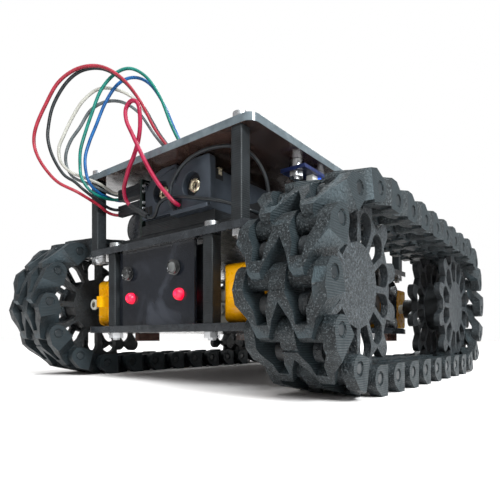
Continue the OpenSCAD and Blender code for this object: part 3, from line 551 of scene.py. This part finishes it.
JUMPER_R = 0.7
LEAD_R = 0.85
ROUTES = {
    "jumper_red": [
        (-37, -69.5, 77.7), (-38.23, -69.77, 77.72), (-39.22, -70.54, 77.8), (-39.85, -71.7, 77.95),
        (-40.1, -73.2, 78.2), (-40.05, -75.6, 78.9), (-39.5, -79.5, 80.5), (-39, -89.5, 83.5),
        (-43.5, -96, 87), (-47.5, -99.5, 92.5), (-50, -102, 98.5), (-51, -103, 104.5),
        (-50, -102.5, 111), (-47.5, -100, 120), (-43.5, -96, 131), (-38, -90, 138),
        (-31, -83.5, 139.5), (-24.5, -77, 135), (-19, -71.5, 125.5), (-14.5, -67, 113.5),
        (-10.5, -62.5, 105.5), (-6, -58.5, 99), (-1, -53.5, 97), (5, -52, 97.2), (10.5, -52, 97.2)],
    "jumper_black": [
        (-37, -69.5, 80.24), (-38.23, -69.77, 80.24), (-39.22, -70.54, 80.28), (-39.8, -71.65, 80.35),
        (-40, -73.2, 80.5), (-39.7, -75.6, 81), (-39, -79.5, 82), (-39, -87, 85.5), (-41, -90, 88.5),
        (-44, -93.5, 91.5), (-47, -96.5, 98.5), (-48.5, -98, 105.5), (-48.5, -98, 112),
        (-47, -96.5, 122), (-43, -92.5, 132.5), (-38, -87.5, 138.5), (-31.5, -81, 139.5),
        (-25, -74.5, 134), (-19.5, -69, 124), (-14.5, -64, 112), (-10, -59.5, 104), (-5.5, -55, 98.5),
        (-1, -50.5, 97), (6, -49, 97.2), (12, -49, 97.2)],
    "jumper_white": [
        (-37, -69.5, 87.86), (-38.23, -69.77, 88), (-39.22, -70.54, 88.2), (-39.8, -71.65, 88.45),
        (-39.9, -73.1, 88.85), (-39.7, -75.4, 89.6), (-39.6, -79, 90.6), (-43, -84, 92.5),
        (-47.5, -88.5, 95), (-50.5, -91.5, 99.5), (-51, -92, 105.5), (-49.5, -90.5, 111.5),
        (-47, -88, 119.5), (-43.5, -84.5, 128), (-38.5, -79.5, 134), (-32.5, -73.5, 134),
        (-27, -68, 130), (-22, -63, 121), (-18, -58.5, 112), (-13.5, -54, 105), (-9, -49.5, 99.5),
        (-4, -44.5, 97.5), (0, -41.2, 97.1), (5, -40.1, 97.1), (12, -40, 97.2)],
    "jumper_grey": [
        (-37, -67, 87.86), (-39.15, -67.58, 87.88), (-40.7, -69.1, 88), (-41.25, -71.2, 88.15),
        (-41.1, -74, 88.3), (-40.7, -77.5, 88.6), (-42.5, -81, 90), (-48, -86.5, 93),
        (-50.5, -88.5, 98), (-50.5, -89, 103.5), (-49, -87.5, 110), (-46.5, -84.5, 116.5),
        (-43, -81, 125), (-38, -76, 129.5), (-32.5, -70.5, 129.5), (-27, -65.5, 124.5),
        (-22.5, -61, 115.5), (-18.5, -56.5, 108.5), (-14, -52.5, 102.5), (-9.5, -47.5, 98.5),
        (-4.5, -42.5, 97), (0.5, -37, 97), (6, -37, 97.2), (14, -37, 97.2), (20, -37, 97.2)],
    "jumper_green": [
        (-37, -69.5, 85.32), (-38.23, -69.77, 85.25), (-39.22, -70.54, 85.15), (-39.8, -71.65, 85),
        (-39.9, -73.1, 84.85), (-39.5, -75.4, 84.5), (-38.5, -79.5, 84.3), (-39, -84, 86),
        (-40.5, -87, 91), (-41, -87.5, 97), (-40.5, -87.5, 103.5), (-39.5, -86, 111),
        (-37.5, -84, 120), (-34.5, -81, 131.5), (-30, -76.5, 139.5), (-25, -72, 142),
        (-20, -67, 138.5), (-16, -62.5, 130), (-12.5, -59, 117.5), (-9, -56, 108.5), (-5.5, -52, 101),
        (-0.5, -47.5, 97.5), (5, -46, 97.2), (11, -46, 97.2), (17, -46, 97.2)],
    "jumper_blue": [
        (-37, -67, 85.32), (-39.15, -67.58, 85.35), (-40.7, -69.1, 85.5), (-41.25, -71.2, 85.75),
        (-41.1, -74, 86), (-40.8, -77.5, 86.4), (-40.5, -82.5, 89), (-41, -84.5, 94), (-41, -85, 101),
        (-40, -83.5, 108.5), (-38, -81.5, 116), (-35, -78.5, 127), (-31, -74.5, 136),
        (-26, -69.5, 139.5), (-21, -64.5, 137), (-16.5, -60, 128), (-12.5, -56.5, 116),
        (-9.5, -53.5, 107.5), (-5.5, -49.5, 100.5), (-0.5, -44.5, 97.5), (6, -43, 97.2),
        (12, -43, 97.2), (19, -43, 97.2)],
    "battery_lead_red": [
        (10.2, -74, 72.5), (10, -75.9, 72.9), (9.2, -77.5, 74.3), (7.6, -79.2, 77), (5.4, -80.6, 80.2),
        (2.4, -82.2, 85.5), (-0.6, -83.6, 91.5), (-3.4, -84.4, 97), (-6, -84.9, 102),
        (-8.6, -85.2, 106.6), (-9.8, -85.2, 109.8), (-10.07, -85.1, 112.58), (-9.09, -85, 114.29),
        (-7.38, -84.9, 115.27), (-5.42, -84.7, 115.27), (-3.71, -84.4, 114.29), (-2.73, -84.1, 112.58),
        (-2.6, -83.7, 110.2), (-3.1, -83.1, 107.2), (-4.2, -82.5, 103.5), (-5.8, -82.3, 99),
        (-7.8, -82.8, 94), (-10.6, -83.2, 89.4), (-13.7, -82.4, 86), (-16.7, -81.3, 83.3),
        (-19, -79.5, 81), (-19.9, -77.7, 78.8), (-19, -76.5, 77)],
    "battery_lead_black": [
        (7.6, -74, 72), (7.55, -75.23, 72.27), (7.5, -76.22, 73.04), (7.55, -76.8, 74.2),
        (7.7, -76.95, 75.9), (8.1, -76.9, 78), (8.8, -76.8, 80.8), (12.8, -76.5, 85.3),
        (18.6, -76.3, 88.4), (25.8, -75.6, 90), (32.5, -73.4, 90.6), (37, -70, 90.4),
        (39.5, -66, 89.4), (41.2, -62, 86.4), (42.4, -58.6, 81), (42.6, -57, 75), (42.6, -57, 69.94)],
    "link_lead_black": [
        (-9, -75, 71), (-7.6, -74.85, 70.2), (-6, -74.8, 69.95), (-4.5, -74.8, 70.5),
        (-3.3, -74.9, 71.9), (-2.3, -75, 73.6), (-0.6, -75.2, 75.2), (2.4, -75.2, 76.1),
        (6, -75.1, 76.2), (13.4, -75.1, 75), (22.5, -75.2, 72.6), (31, -75, 70.4), (36.6, -72.4, 68.6),
        (40, -70, 67.2), (42, -67.6, 66.3), (42.6, -65.6, 66), (42.6, -64, 66)],
}
HOUSING_LENGTH = 14.0
HOUSING_WIDTH = 2.4
JUMPERS = ("red", "black", "white", "grey", "green", "blue")
SLEEVE = (Vector((-19, -76.5, 77)), Vector((-9, -75, 71)), 1.3)


def before(a, b, c):
    """The point that would come before a, on the parabola through a, b and c."""
    return 3 * (a - b) + c


def spans(route):
    """A route's points, and how far a smooth curve's Bezier handles stand from each."""
    points = [Vector(p) for p in route]
    ends = [before(*points[:3]), *points, before(*points[:-4:-1])]
    slopes = [(ends[i + 2] - ends[i]) / 6 for i in range(len(points))]
    return points, slopes


def tube(name, radius, roundness):
    """The data of a round tube that has no path yet."""
    data = bpy.data.curves.new(name, "CURVE")
    data.dimensions = "3D"
    data.bevel_depth = radius * MM
    data.bevel_resolution = roundness
    return data


def add_wire(name, radius, material):
    """A round wire along its route, standing for the CAD node of that name."""
    points, slopes = spans(ROUTES[name])
    data = tube(name + "_wire", radius, 3)
    data.resolution_u = 8
    data.use_fill_caps = True
    spline = data.splines.new("BEZIER")
    spline.bezier_points.add(len(points) - 1)
    for knot, point, slope in zip(spline.bezier_points, points, slopes):
        knot.handle_left_type = knot.handle_right_type = "FREE"
        knot.co = point * MM
        knot.handle_left = (point - slope) * MM
        knot.handle_right = (point + slope) * MM
    data.materials.append(MATERIAL[material])
    made = placed(name + "_wire", data)
    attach(made, CHASSIS)
    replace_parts(made, name)
    return made


def add_housing(name, start):
    """A square pin housing along +X, with its crimp window and latch."""
    half = HOUSING_WIDTH / 2
    x, y, z = start
    bm = bmesh.new()
    block(bm, (x, y - half, z - half), (x + HOUSING_LENGTH, y + half, z + half))
    bm.normal_update()
    top = next(f for f in bm.faces if f.normal.z > 0.9)
    bmesh.ops.inset_region(bm, faces=[top], thickness=0.45)
    bmesh.ops.translate(bm, verts=top.verts, vec=(0, 0, -0.3))
    for near, far in ((3.0, 5.6), (9.5, 11.0)):
        block(bm, (x + near, y - 0.6, z + half - 0.35), (x + far, y + 0.6, z + half - 0.02))
    return add_piece(name, bm, CHASSIS, "black_plastic", 0.12)


def add_sleeve():
    """The shrunk sleeve over the joint of the red lead and the link lead."""
    start, end, radius = SLEEVE
    length = (end - start).length
    profile = [(0.8, 0.0), (radius * 0.9, 0.05)]
    rings = 14
    for i in range(rings + 1):
        swell = 0.94 + 0.06 * math.cos(i * 2.1)
        profile.append((radius * swell, 0.4 + (length - 0.8) * i / rings))
    profile += [(radius * 0.9, length - 0.05), (0.8, length)]
    bm = bmesh.new()
    turned(bm, profile, start, along(end - start), 20)
    made = add_piece("lead_sleeve_shrunk", bm, CHASSIS, "sleeve")
    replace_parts(made, "lead_sleeve")
    return made


def add_wires():
    """Every wire, with the housings and the sleeve at its ends."""
    for colour in JUMPERS:
        name = "jumper_" + colour
        wire = add_wire(name, JUMPER_R, "wire_" + colour)
        start, end = ROUTES[name][0], ROUTES[name][-1]
        plug = add_housing(name + "_plug", start)
        far = add_housing(name + "_socket", end)
        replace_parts(plug, "jumper_housings")
    sleeve = add_sleeve()
    red = add_wire("battery_lead_red", LEAD_R, "lead_pink")
    for name in ("battery_lead_black", "link_lead_black"):
        wire = add_wire(name, JUMPER_R, "wire_black")


add_wires()

# ------------------------ CAD nodes

for side, look in (("right", "track"), ("left", "track_left")):
    for part in ("top", "rear", "bottom", "front"):
        dress(f"{side}_track_{part}", look, 0.3)
for wheel in WHEELS:
    dress(wheel + "_outer_disc", "disc_grey", 0.25)
    dress(wheel + "_inner_disc", "disc_black", 0.25)
    dress(wheel + "_shaft", "nylon", 0.15)
    dress(wheel + "_gearbox", "yellow", 0.3)
for node, look, width in (
    ("track_pins", "pin", 0.2), ("bottom_plate", "deck", 0.25), ("middle_plate", "deck", 0.25),
    ("top_plate", "deck_top", 0.25), ("deck_tray", "tray", 0.3), ("lower_posts", "post", 0.2),
    ("upper_posts", "post", 0.2), ("post_bolts", "zinc", 0.2), ("bracket_bolts", "zinc", 0.2),
    ("motor_brackets", "bracket", 0.25), ("sensor_panel", "panel", 0.15),
    ("sensor_board", "pcb_black", 0.1), ("motor_cans", "steel", 0.4), ("motor_caps", "cap_white", 0.25),
    ("battery_riser", "riser", 0.3), ("right_battery_holder", "holder", 0.35),
    ("left_battery_holder", "holder", 0.35), ("terminal_block", "black_plastic", 0.2),
):
    dress(node, look, width)

# ------------------------ sensor panel

PANEL_FACE = corners("sensor_panel")[0].y


def pair(node):
    """The middles of a node's two round parts, as (x, z)."""
    low, high = corners(node)
    rim, z = (high.z - low.z) / 2, (low.z + high.z) / 2
    return (low.x + rim, z), (high.x - rim, z)


def add_receivers(places):
    """Round ribbed housings, each with a glassy four-part lens."""
    bodies = bmesh.new()
    lenses = bmesh.new()
    for x, z in places:
        at = (x, PANEL_FACE, z)
        turned(bodies, [(2.55, -4.6), (2.55, 0.3), (3.0, 0.4), (3.06, 0.6), (2.75, 0.8), (2.75, 0.95),
                        (3.06, 1.1), (3.06, 1.35), (2.75, 1.5), (2.75, 1.65), (3.02, 1.8), (2.9, 2.15),
                        (2.35, 2.4), (2.2, 2.05)], at, "-Y", 48, (24, 0.012))
        turned(lenses, [(2.25, 1.95), (2.2, 2.15), (1.9, 2.32), (1.1, 2.42), (0.4, 2.35), (0, 2.28)],
               at, "-Y", 9)
        for k in range(4):
            turn = Matrix.Rotation(math.radians(45 + 90 * k), 4, "Y")
            spot = Vector(at) + turn @ Vector((1.5, 0, 0)) + Vector((0, -2.3, 0))
            block(lenses, spot - Vector((0.5, 0.14, 0.14)), spot + Vector((0.5, 0.14, 0.14)), turn)
    made = add_piece("receiver_bodies", bodies, CHASSIS, "receiver")
    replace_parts(made, "ir_receivers")
    add_piece("receiver_lenses", lenses, CHASSIS, "lens_grey", 0.05)


def add_indicators(places):
    """Round-topped 5 mm lamps, with the bright chip showing through the tip."""
    domes = bmesh.new()
    cores = bmesh.new()
    radius, start = 2.45, 0.3
    for x, z in places:
        at = (x, PANEL_FACE, z)
        dome = [(radius * math.cos(a), start + radius * math.sin(a)) for a in
                (math.radians(15 * k) for k in range(6))]
        turned(domes, [(radius, -4.6), (radius, 0.0), *dome, (0, start + radius)], at, "-Y", 32)
        turned(cores, [(0.9, 2.58), (0.7, 2.68), (0.3, 2.75), (0, 2.77)], at, "-Y", 16)
    made = add_piece("indicator_domes", domes, CHASSIS, "led_red")
    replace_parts(made, "signal_leds")
    add_piece("indicator_cores", cores, CHASSIS, "led_core")


def add_board_chips():
    """Small three-legged chips, as (x, z, width, height), on the sensor board's rear face."""
    back = corners("sensor_board")[1].y
    bm = bmesh.new()
    for x0, z0, w, h in ((-20, 31, 4, 3), (-9, 35, 5, 4), (5, 33, 4, 4), (-2, 47, 6, 3), (8, 49, 3, 2)):
        block(bm, (x0, back - 0.9, z0), (x0 + w, back - 0.1, z0 + h))
        for k in range(3):
            block(bm, (x0 + 0.4 + k * w / 3, back - 0.9, z0 - 0.5),
                  (x0 + 0.8 + k * w / 3, back - 0.6, z0 + h + 0.5))
    add_piece("sensor_board_chips", bm, CHASSIS, "chip", 0.08)


add_receivers(pair("ir_receivers"))
add_indicators(pair("signal_leds"))
add_board_chips()

# ------------------------ batteries

CELL_SEAT = 2.0
CELL_START = 3.6
WALL = 3.0
SPRING_REAR = 74.0
SPRING_TURNS, SPRING_STEPS = 3, 24


def cell_places():
    """Each cell's axis as (x, where the cell starts, its holder's front, z), and the radius."""
    low, high = corners("battery_cells")
    right, left = (corners(side + "_battery_holder") for side in ("right", "left"))
    radius = (high.x - low.x - (right[0].x - left[0].x)) / 2
    places = [((a.x + b.x) / 2, a.y + CELL_START, a.y, a.z + CELL_SEAT + radius)
              for a, b in (right, left)]
    return places, radius


def add_cells():
    """Wrapped cells with their caps, and the ringed front contacts."""
    places, radius = cell_places()
    r = radius - 0.05
    wraps = bmesh.new()
    caps = bmesh.new()
    rings = bmesh.new()
    backs = bmesh.new()
    for x, y, wall, z in places:
        at = (x, y, z)
        turned(wraps, [(r - 1.6, 0.25), (r - 0.5, 0.0), (r, 0.5), (r, 20), (r - 0.02, 20.2), (r, 20.4),
                       (r, 62.2), (r - 0.35, 62.7), (r - 0.35, 63.5), (r, 64.0), (r - 0.2, 64.8),
                       (r - 1.4, 65.0), (r - 1.8, 64.7)], at, "+Y", 48)
        turned(caps, [(r - 1.6, 64.6), (4.0, 64.7), (3.4, 64.9), (3.0, 65.3), (2.9, 66.1), (2.4, 66.2),
                      (0, 66.2)], at, "+Y", 32)
        turned(caps, [(r - 1.6, 0.4), (r - 2.4, 0.15), (0, 0.1)], at, "+Y", 32)
        front = (x, wall + WALL, z)
        turned(rings, [(1.4, -0.1), (1.4, 1.2), (1.7, 1.45), (2.5, 1.45), (3.0, 1.05), (3.0, 0.1),
                       (1.4, -0.1)], front, "-Y", 32)
        turned(backs, [(3.0, 0.12), (3.1, 0.3), (5.8, 0.3), (5.9, 0.1), (5.9, -0.35), (3.0, -0.38),
                       (3.0, 0.12)], front, "-Y", 32)
        for k in range(5):
            turn = Matrix.Rotation(math.radians(20 + 72 * k), 4, "Y")
            spot = Vector(front) + turn @ Vector((2.2, 0, 0)) + Vector((0, -1.35, 0))
            block(rings, spot - Vector((0.7, 0.18, 0.4)), spot + Vector((0.7, 0.18, 0.4)), turn)
    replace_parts(add_piece("cell_wraps", wraps, CHASSIS, "wrap"), "battery_cells")
    add_piece("cell_caps", caps, CHASSIS, "steel")
    made = add_piece("holder_rings", rings, CHASSIS, "nickel", 0.08)
    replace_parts(made, "battery_contacts")
    add_piece("holder_backs", backs, CHASSIS, "black_plastic", 0.08)


def add_springs():
    """The spiral contact at the rear of each holder."""
    places, _ = cell_places()
    for side, (x, _, wall, z) in zip(("right", "left"), places):
        data = tube(f"contact_spring_{side}", 0.35, 2)
        spline = data.splines.new("POLY")
        last = SPRING_TURNS * SPRING_STEPS
        spline.points.add(last)
        rear = wall + SPRING_REAR
        for i in range(last + 1):
            share = i / last
            angle = math.tau * SPRING_TURNS * share
            size = 4.6 - 1.6 * share
            at = Vector((x + size * math.cos(angle), rear - 0.4 - 3.4 * share, z + size * math.sin(angle)))
            spline.points[i].co = (*(at * MM), 1.0)
        data.materials.append(MATERIAL["nickel"])
        spring = placed(f"contact_spring_{side}", data)
        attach(spring, CHASSIS)


def add_holder_trim():
    """Ribs, front lips and contact tabs of the cell holders, with near-black blocks as painted shade in the
    wire slots and notches.
    """
    bm, slot_shades, tabs = bmesh.new(), bmesh.new(), bmesh.new()
    for side in ("right", "left"):
        low, high = corners(side + "_battery_holder")
        for s, x in ((-1, low.x), (1, high.x)):
            for y in (low.y + 12, low.y + 38, low.y + 62):
                block(bm, (min(x, x - s), y, low.z + 3), (max(x, x - s), y + 6, low.z + 14.5))
        for y in (low.y + 20, low.y + 40, low.y + 58):
            block(bm, (low.x + 5, y, low.z + 1.6), (high.x - 5, y + 1.2, low.z + 2.2))
        block(bm, (low.x, low.y - 1.8, low.z), (high.x, low.y + 0.1, low.z + 1.7))
        # painted shade: near-black blocks on the front stand for the shade inside the wire slots
        for x in (low.x + 1.1, low.x + 3.9):
            block(slot_shades, (x - 1.1, low.y - 0.15, low.z + 1.8), (x + 1.1, low.y + 0.5, low.z + 6.2))
        # painted shade: a near-black block for the shade in the side notch
        block(slot_shades, (high.x - 1.3, low.y + 3, low.z + 12), (high.x + 0.1, low.y + 7.2, low.z + 16.05))
        block(tabs, (high.x - 1.1, low.y + 4.6, low.z + 14), (high.x + 0.2, low.y + 6.4, low.z + 16.8))
    add_piece("holder_clips", bm, CHASSIS, "holder", 0.25)
    add_piece("holder_slot_shades", slot_shades, CHASSIS, "painted_slot_shade", 0.05)
    add_piece("holder_tabs", tabs, CHASSIS, "nickel", 0.1)


add_cells()
add_springs()
add_holder_trim()

# ------------------------ boards on the decks

BOARD_T = 1.6
HEADER_T = 2.4
HEADER_Y = (-69.5, -67.0)
CONNECTOR_T = 6.0
CONNECTOR_Y = (-45.7, -41.0, -36.3)


def add_driver_board():
    """The upright motor driver: its board, the jumpers' header, a connector and their pins."""
    low, high = corners("driver_board")
    face, back = high.x, high.x - BOARD_T
    board, blocks, metal = bmesh.new(), bmesh.new(), bmesh.new()
    block(board, (back, low.y + 0.3, low.z), (face, high.y, high.z))
    made = add_piece("driver_plate", board, CHASSIS, "pcb_dark", 0.12)
    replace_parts(made, "driver_board")
    for z in sorted({ROUTES["jumper_" + colour][0][2] for colour in JUMPERS}):
        for y in HEADER_Y:
            block(blocks, (back - HEADER_T, y - 1.2, z - 1.2), (back, y + 1.2, z + 1.2))
            block(metal, (back - 4.6, y - 0.3, z - 0.3), (face + 1.4, y + 0.3, z + 0.3))
            turned(metal, [(0.85, 0), (0.8, 0.12), (0.35, 0.3)], (face, y, z), "+X", 16)
    block(blocks, (back - CONNECTOR_T, -48, low.z + 3), (back, -34, low.z + 17))
    for y in CONNECTOR_Y:
        block(blocks, (back - CONNECTOR_T, y - 1.9, low.z + 4), (back - 0.5, y + 1.9, low.z + 17.6))
    add_piece("driver_blocks", blocks, CHASSIS, "black_plastic", 0.15)
    for y in (low.y + 3.3, high.y - 3):
        pad = [(2.2, -0.02), (2.2, 0.08), (1.5, 0.08), (1.5, -0.02), (2.2, -0.02)]
        turned(metal, pad, (face, y, high.z - 3), "+X", 24)
    for z in (70.5, 74.0, 77.5):
        for y in CONNECTOR_Y:
            at = (back - CONNECTOR_T + 0.7, y, z)
            turned(metal, [(1.5, 0), (1.5, 0.5), (1.2, 0.7), (0, 0.7)], at, "-X", 20)
    add_piece("driver_metal", metal, CHASSIS, "steel", 0.05)


def add_driver_parts():
    """The chips and small parts on the board's right face."""
    face = corners("driver_board")[1].x
    chips, legs, parts = bmesh.new(), bmesh.new(), bmesh.new()
    for y, z, w, h in ((-62, 76, 9, 6), (-60, 86, 6, 5), (-49, 70, 7, 7)):
        block(chips, (face, y, z), (face + 1.6, y + w, z + h))
        for k in range(5):
            leg = y + 0.6 + k * (w - 1.2) / 4
            block(legs, (face, leg - 0.2, z - 0.8), (face + 0.9, leg + 0.2, z + h + 0.8))
    for y, z in ((-64, 70), (-61.5, 70), (-59, 70), (-52, 84), (-49.5, 84), (-47, 84), (-38, 88)):
        block(parts, (face, y, z), (face + 0.7, y + 1.2, z + 2.0))
    add_piece("driver_chips", chips, CHASSIS, "chip", 0.12)
    add_piece("driver_legs", legs, CHASSIS, "steel", 0.05)
    add_piece("driver_passives", parts, CHASSIS, "nylon", 0.1)


def add_capacitor():
    """A sleeved can with a rolled-in neck and a cross-scored end."""
    low, high = corners("capacitor")
    at = Vector(((low.x + high.x) / 2, low.y, (low.z + high.z) / 2))
    r, length = (high.x - low.x) / 2 - 0.02, high.y - low.y
    can, lid = bmesh.new(), bmesh.new()
    turned(can, [(r - 1.3, 0.05), (r - 0.4, 0.1), (r, 0.6), (r, length - 3.2), (r - 0.45, length - 2.6),
                 (r - 0.45, length - 2.0), (r, length - 1.4), (r, length - 0.4), (r - 0.6, length)],
           at, "+Y", 40)
    turned(lid, [(r - 1.3, 0.12), (r - 1.5, 0.02), (0, 0.02)], at, "+Y", 40)
    for k in range(2):
        turn = Matrix.Rotation(math.radians(45 + 90 * k), 4, "Y")
        spot = at + Vector((0, 0.05, 0))
        block(lid, spot - Vector((4.2, 0.04, 0.16)), spot + Vector((4.2, 0.04, 0.16)), turn)
    made = add_piece("capacitor_can", can, CHASSIS, "can_dark")
    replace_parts(made, "capacitor")
    add_piece("capacitor_vent", lid, CHASSIS, "can_dark")


def add_side_board():
    """The small board hung under the top plate on two bolts with spacers and nuts."""
    low, high = corners("side_board")
    mid_x = (low.x + high.x) / 2
    under = corners("top_plate")[0].z - 5
    board, bolts, lamp, plug, chips, legs = (bmesh.new() for _ in range(6))
    block(board, (low.x, low.y, under), (high.x, high.y, under + BOARD_T))
    for y in (low.y + 3, high.y - 3):
        turned(bolts, [(1.5, -3.3), (1.5, 5.0)], (mid_x, y, under), "+Z", 20)
        turned(bolts, [(2.9, -2.4), (3.1, -2.1), (3.1, -0.3), (2.9, 0.0)], (mid_x, y, under), "+Z", 6)
        turned(bolts, [(2.5, 1.6), (2.6, 1.8), (2.6, 4.8), (2.5, 5.0)], (mid_x, y, under), "+Z", 24)
    turned(lamp, [(1.0, 0), (1.05, 0.4), (0.95, 0.9), (0.6, 1.25), (0, 1.35)],
           (high.x - 2.4, high.y - 8.6, under), "-Z", 20)
    block(plug, (high.x - 5.0, low.y + 9.0, under - 2.6), (high.x - 1.6, low.y + 13.0, under))
    block(plug, (high.x - 4.4, low.y + 9.5, under - 2.9), (high.x - 2.2, low.y + 12.5, under - 2.0))
    block(chips, (low.x + 1.6, low.y + 11.5, under - 1.2), (low.x + 5.4, low.y + 16.5, under))
    block(chips, (low.x + 1.6, low.y + 7.5, under - 0.9), (low.x + 3.6, low.y + 9.5, under))
    for k in range(4):
        y = low.y + 12.0 + 1.3 * k
        block(legs, (low.x + 1.0, y, under - 0.5), (low.x + 6.0, y + 0.4, under - 0.1))
    made = add_piece("side_board_plate", board, CHASSIS, "pcb_blue", 0.1)
    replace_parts(made, "side_board")
    add_piece("side_board_bolts", bolts, CHASSIS, "zinc", 0.1)
    add_piece("side_board_lamp", lamp, CHASSIS, "led_blue")
    add_piece("side_board_plug", plug, CHASSIS, "white_plug", 0.1)
    add_piece("side_board_chips", chips, CHASSIS, "chip", 0.08)
    add_piece("side_board_legs", legs, CHASSIS, "steel", 0.05)


def add_terminal_screws():
    """The slotted screws on the terminal block."""
    low, high = corners("terminal_block")
    bm = bmesh.new()
    for s in (-2.5, 2.5):
        at = ((low.x + high.x) / 2 + 2, (low.y + high.y) / 2 + s, high.z - 1.0)
        turned(bm, [(1.45, 0), (1.45, 0.5), (1.25, 0.7), (0.2, 0.7), (0, 0.68)], at, "+Z", 24)
        block(bm, (at[0] - 1.2, at[1] - 0.2, at[2] + 0.66), (at[0] + 1.2, at[1] + 0.2, at[2] + 0.78))
    add_piece("terminal_screws", bm, CHASSIS, "zinc", 0.06)


add_driver_board()
add_driver_parts()
add_capacitor()
add_side_board()
add_terminal_screws()

# ------------------------ motors and wheels

CLAMP_X = 14.6
CLAMP_Y = 5.5


def add_gearbox_trim():
    """The moulded ribs and the pressed pins on each gearbox's side."""
    for wheel in WHEELS:
        low, high = corners(wheel + "_gearbox")
        out = 1 if "right" in wheel else -1
        back = 1 if "front" in wheel else -1
        face = high.x - 0.6 if out > 0 else low.x + 0.6
        near = low.y + 4.5 if back > 0 else high.y - 4.5
        mid_z = (low.z + high.z) / 2
        pins, ribs = bmesh.new(), bmesh.new()
        for along_y in (3.4, 33.4):
            for dz in (-8.0, 8.0):
                at = (face - out * 0.3, near + back * along_y, mid_z + dz)
                turned(pins, [(1.2, 0), (1.2, 0.45), (1.0, 0.6), (0, 0.6)], at, "+X" if out > 0 else "-X", 20)
        inner = low.x if out > 0 else high.x
        for dy in (9.0, 17.0, 25.0):
            y = near + back * dy
            block(ribs, (min(inner, inner + out * 0.5) - 0.15, y - 0.5, mid_z - 8),
                  (max(inner, inner + out * 0.5), y + 0.5, mid_z + 8))
        add_piece(wheel + "_gearbox_pins", pins, CHASSIS, "steel", 0.06)
        add_piece(wheel + "_gearbox_ribs", ribs, CHASSIS, "yellow", 0.15)


def add_clamp_screws():
    """The cross-head screw that clamps each wheel's boss to its shaft."""
    for wheel in WHEELS:
        out = 1 if "right" in wheel else -1
        front = -1 if "front" in wheel else 1
        joint = next(j for j in frame["joints"] if j["name"] == wheel + "_wheel_spin")
        axle = Vector(joint["pos_m"]) / MM
        at = Vector((axle.x - out * CLAMP_X, axle.y + front * CLAMP_Y, axle.z))
        bm = bmesh.new()
        turned(bm, [(1.4, -0.2), (1.4, 0.0), (2.75, 0.05), (2.78, 0.9), (2.5, 1.5), (1.8, 1.88), (0.9, 1.93),
                    (0, 1.93)], at, "-Y" if front < 0 else "+Y", 32)
        for k in (0, 1):
            turn = Matrix.Rotation(math.radians(90 * k + 45), 4, "Y")
            spot = at + Vector((0, front * 1.93, 0))
            block(bm, spot - Vector((1.5, 0.05, 0.22)), spot + Vector((1.5, 0.05, 0.22)), turn)
        add_piece(wheel + "_clamp_screw", bm, wheel + "_wheel", "nickel", 0.05)


add_gearbox_trim()
add_clamp_screws()

# ------------------------ floor and light

FLOOR_HALF = 4000
COOL = (0.93, 0.985, 1.0)


def add_floor():
    """The ground the tracks stand on, wide enough to reach the horizon."""
    bm = bmesh.new()
    bmesh.ops.create_grid(bm, x_segments=8, y_segments=8, size=FLOOR_HALF)
    bm.transform(TO_METRES)
    mesh = bpy.data.meshes.new("floor")
    bm.to_mesh(mesh)
    bm.free()
    mesh.materials.append(floor_material())
    floor = placed("floor", mesh)


def add_area(name, at, target, size, watts):
    """A round soft light that looks at a target."""
    data = bpy.data.lights.new(name, "AREA")
    data.shape = "DISK"
    data.size = size
    data.energy = watts
    data.color = COOL
    light = placed(name, data)
    light.location = at
    light.rotation_euler = (Vector(target) - Vector(at)).to_track_quat("-Z", "Y").to_euler()


def add_sun(strength):
    """One broad overhead source, so that the floor is lit evenly to the horizon."""
    data = bpy.data.lights.new("overhead", "SUN")
    data.energy = strength
    data.color = COOL
    data.angle = math.radians(50)
    light = placed("overhead", data)
    light.rotation_euler = Vector((-0.35, 0.45, -1.0)).to_track_quat("-Z", "Y").to_euler()


def add_studio(seen, low, high):
    """A white backdrop, and soft light that falls off from the ceiling to the floor."""
    world = bpy.data.worlds.new("studio")
    world.use_nodes = True
    nodes, links = world.node_tree.nodes, world.node_tree.links
    sky = nodes["Background"]
    coords = nodes.new("ShaderNodeTexCoord")
    split = nodes.new("ShaderNodeSeparateXYZ")
    links.new(coords.outputs["Generated"], split.inputs["Vector"])
    fall = nodes.new("ShaderNodeMapRange")
    for name, number in (("From Min", -0.4), ("From Max", 0.9), ("To Min", low), ("To Max", high)):
        fall.inputs[name].default_value = number
    links.new(split.outputs["Z"], fall.inputs["Value"])
    path = nodes.new("ShaderNodeLightPath")
    choice = nodes.new("ShaderNodeMix")
    links.new(path.outputs["Is Camera Ray"], choice.inputs["Factor"])
    links.new(fall.outputs["Result"], choice.inputs["A"])
    choice.inputs["B"].default_value = seen
    sky.inputs["Color"].default_value = (1, 1, 1, 1)
    links.new(choice.outputs["Result"], sky.inputs["Strength"])
    scene.world = world


def add_light():
    """A key from the right, a rim from behind, and even light from above and around."""
    target = (0, 0, 0.05)
    add_area("key", (0.75, -0.25, 0.5), target, size=0.3, watts=10)
    add_area("rim", (-0.2, 0.8, 0.9), target, size=0.5, watts=7)
    add_sun(2.3)
    add_studio(seen=1.0, low=0.06, high=0.62)
    scene.view_settings.view_transform = "Standard"


add_floor()
add_light()
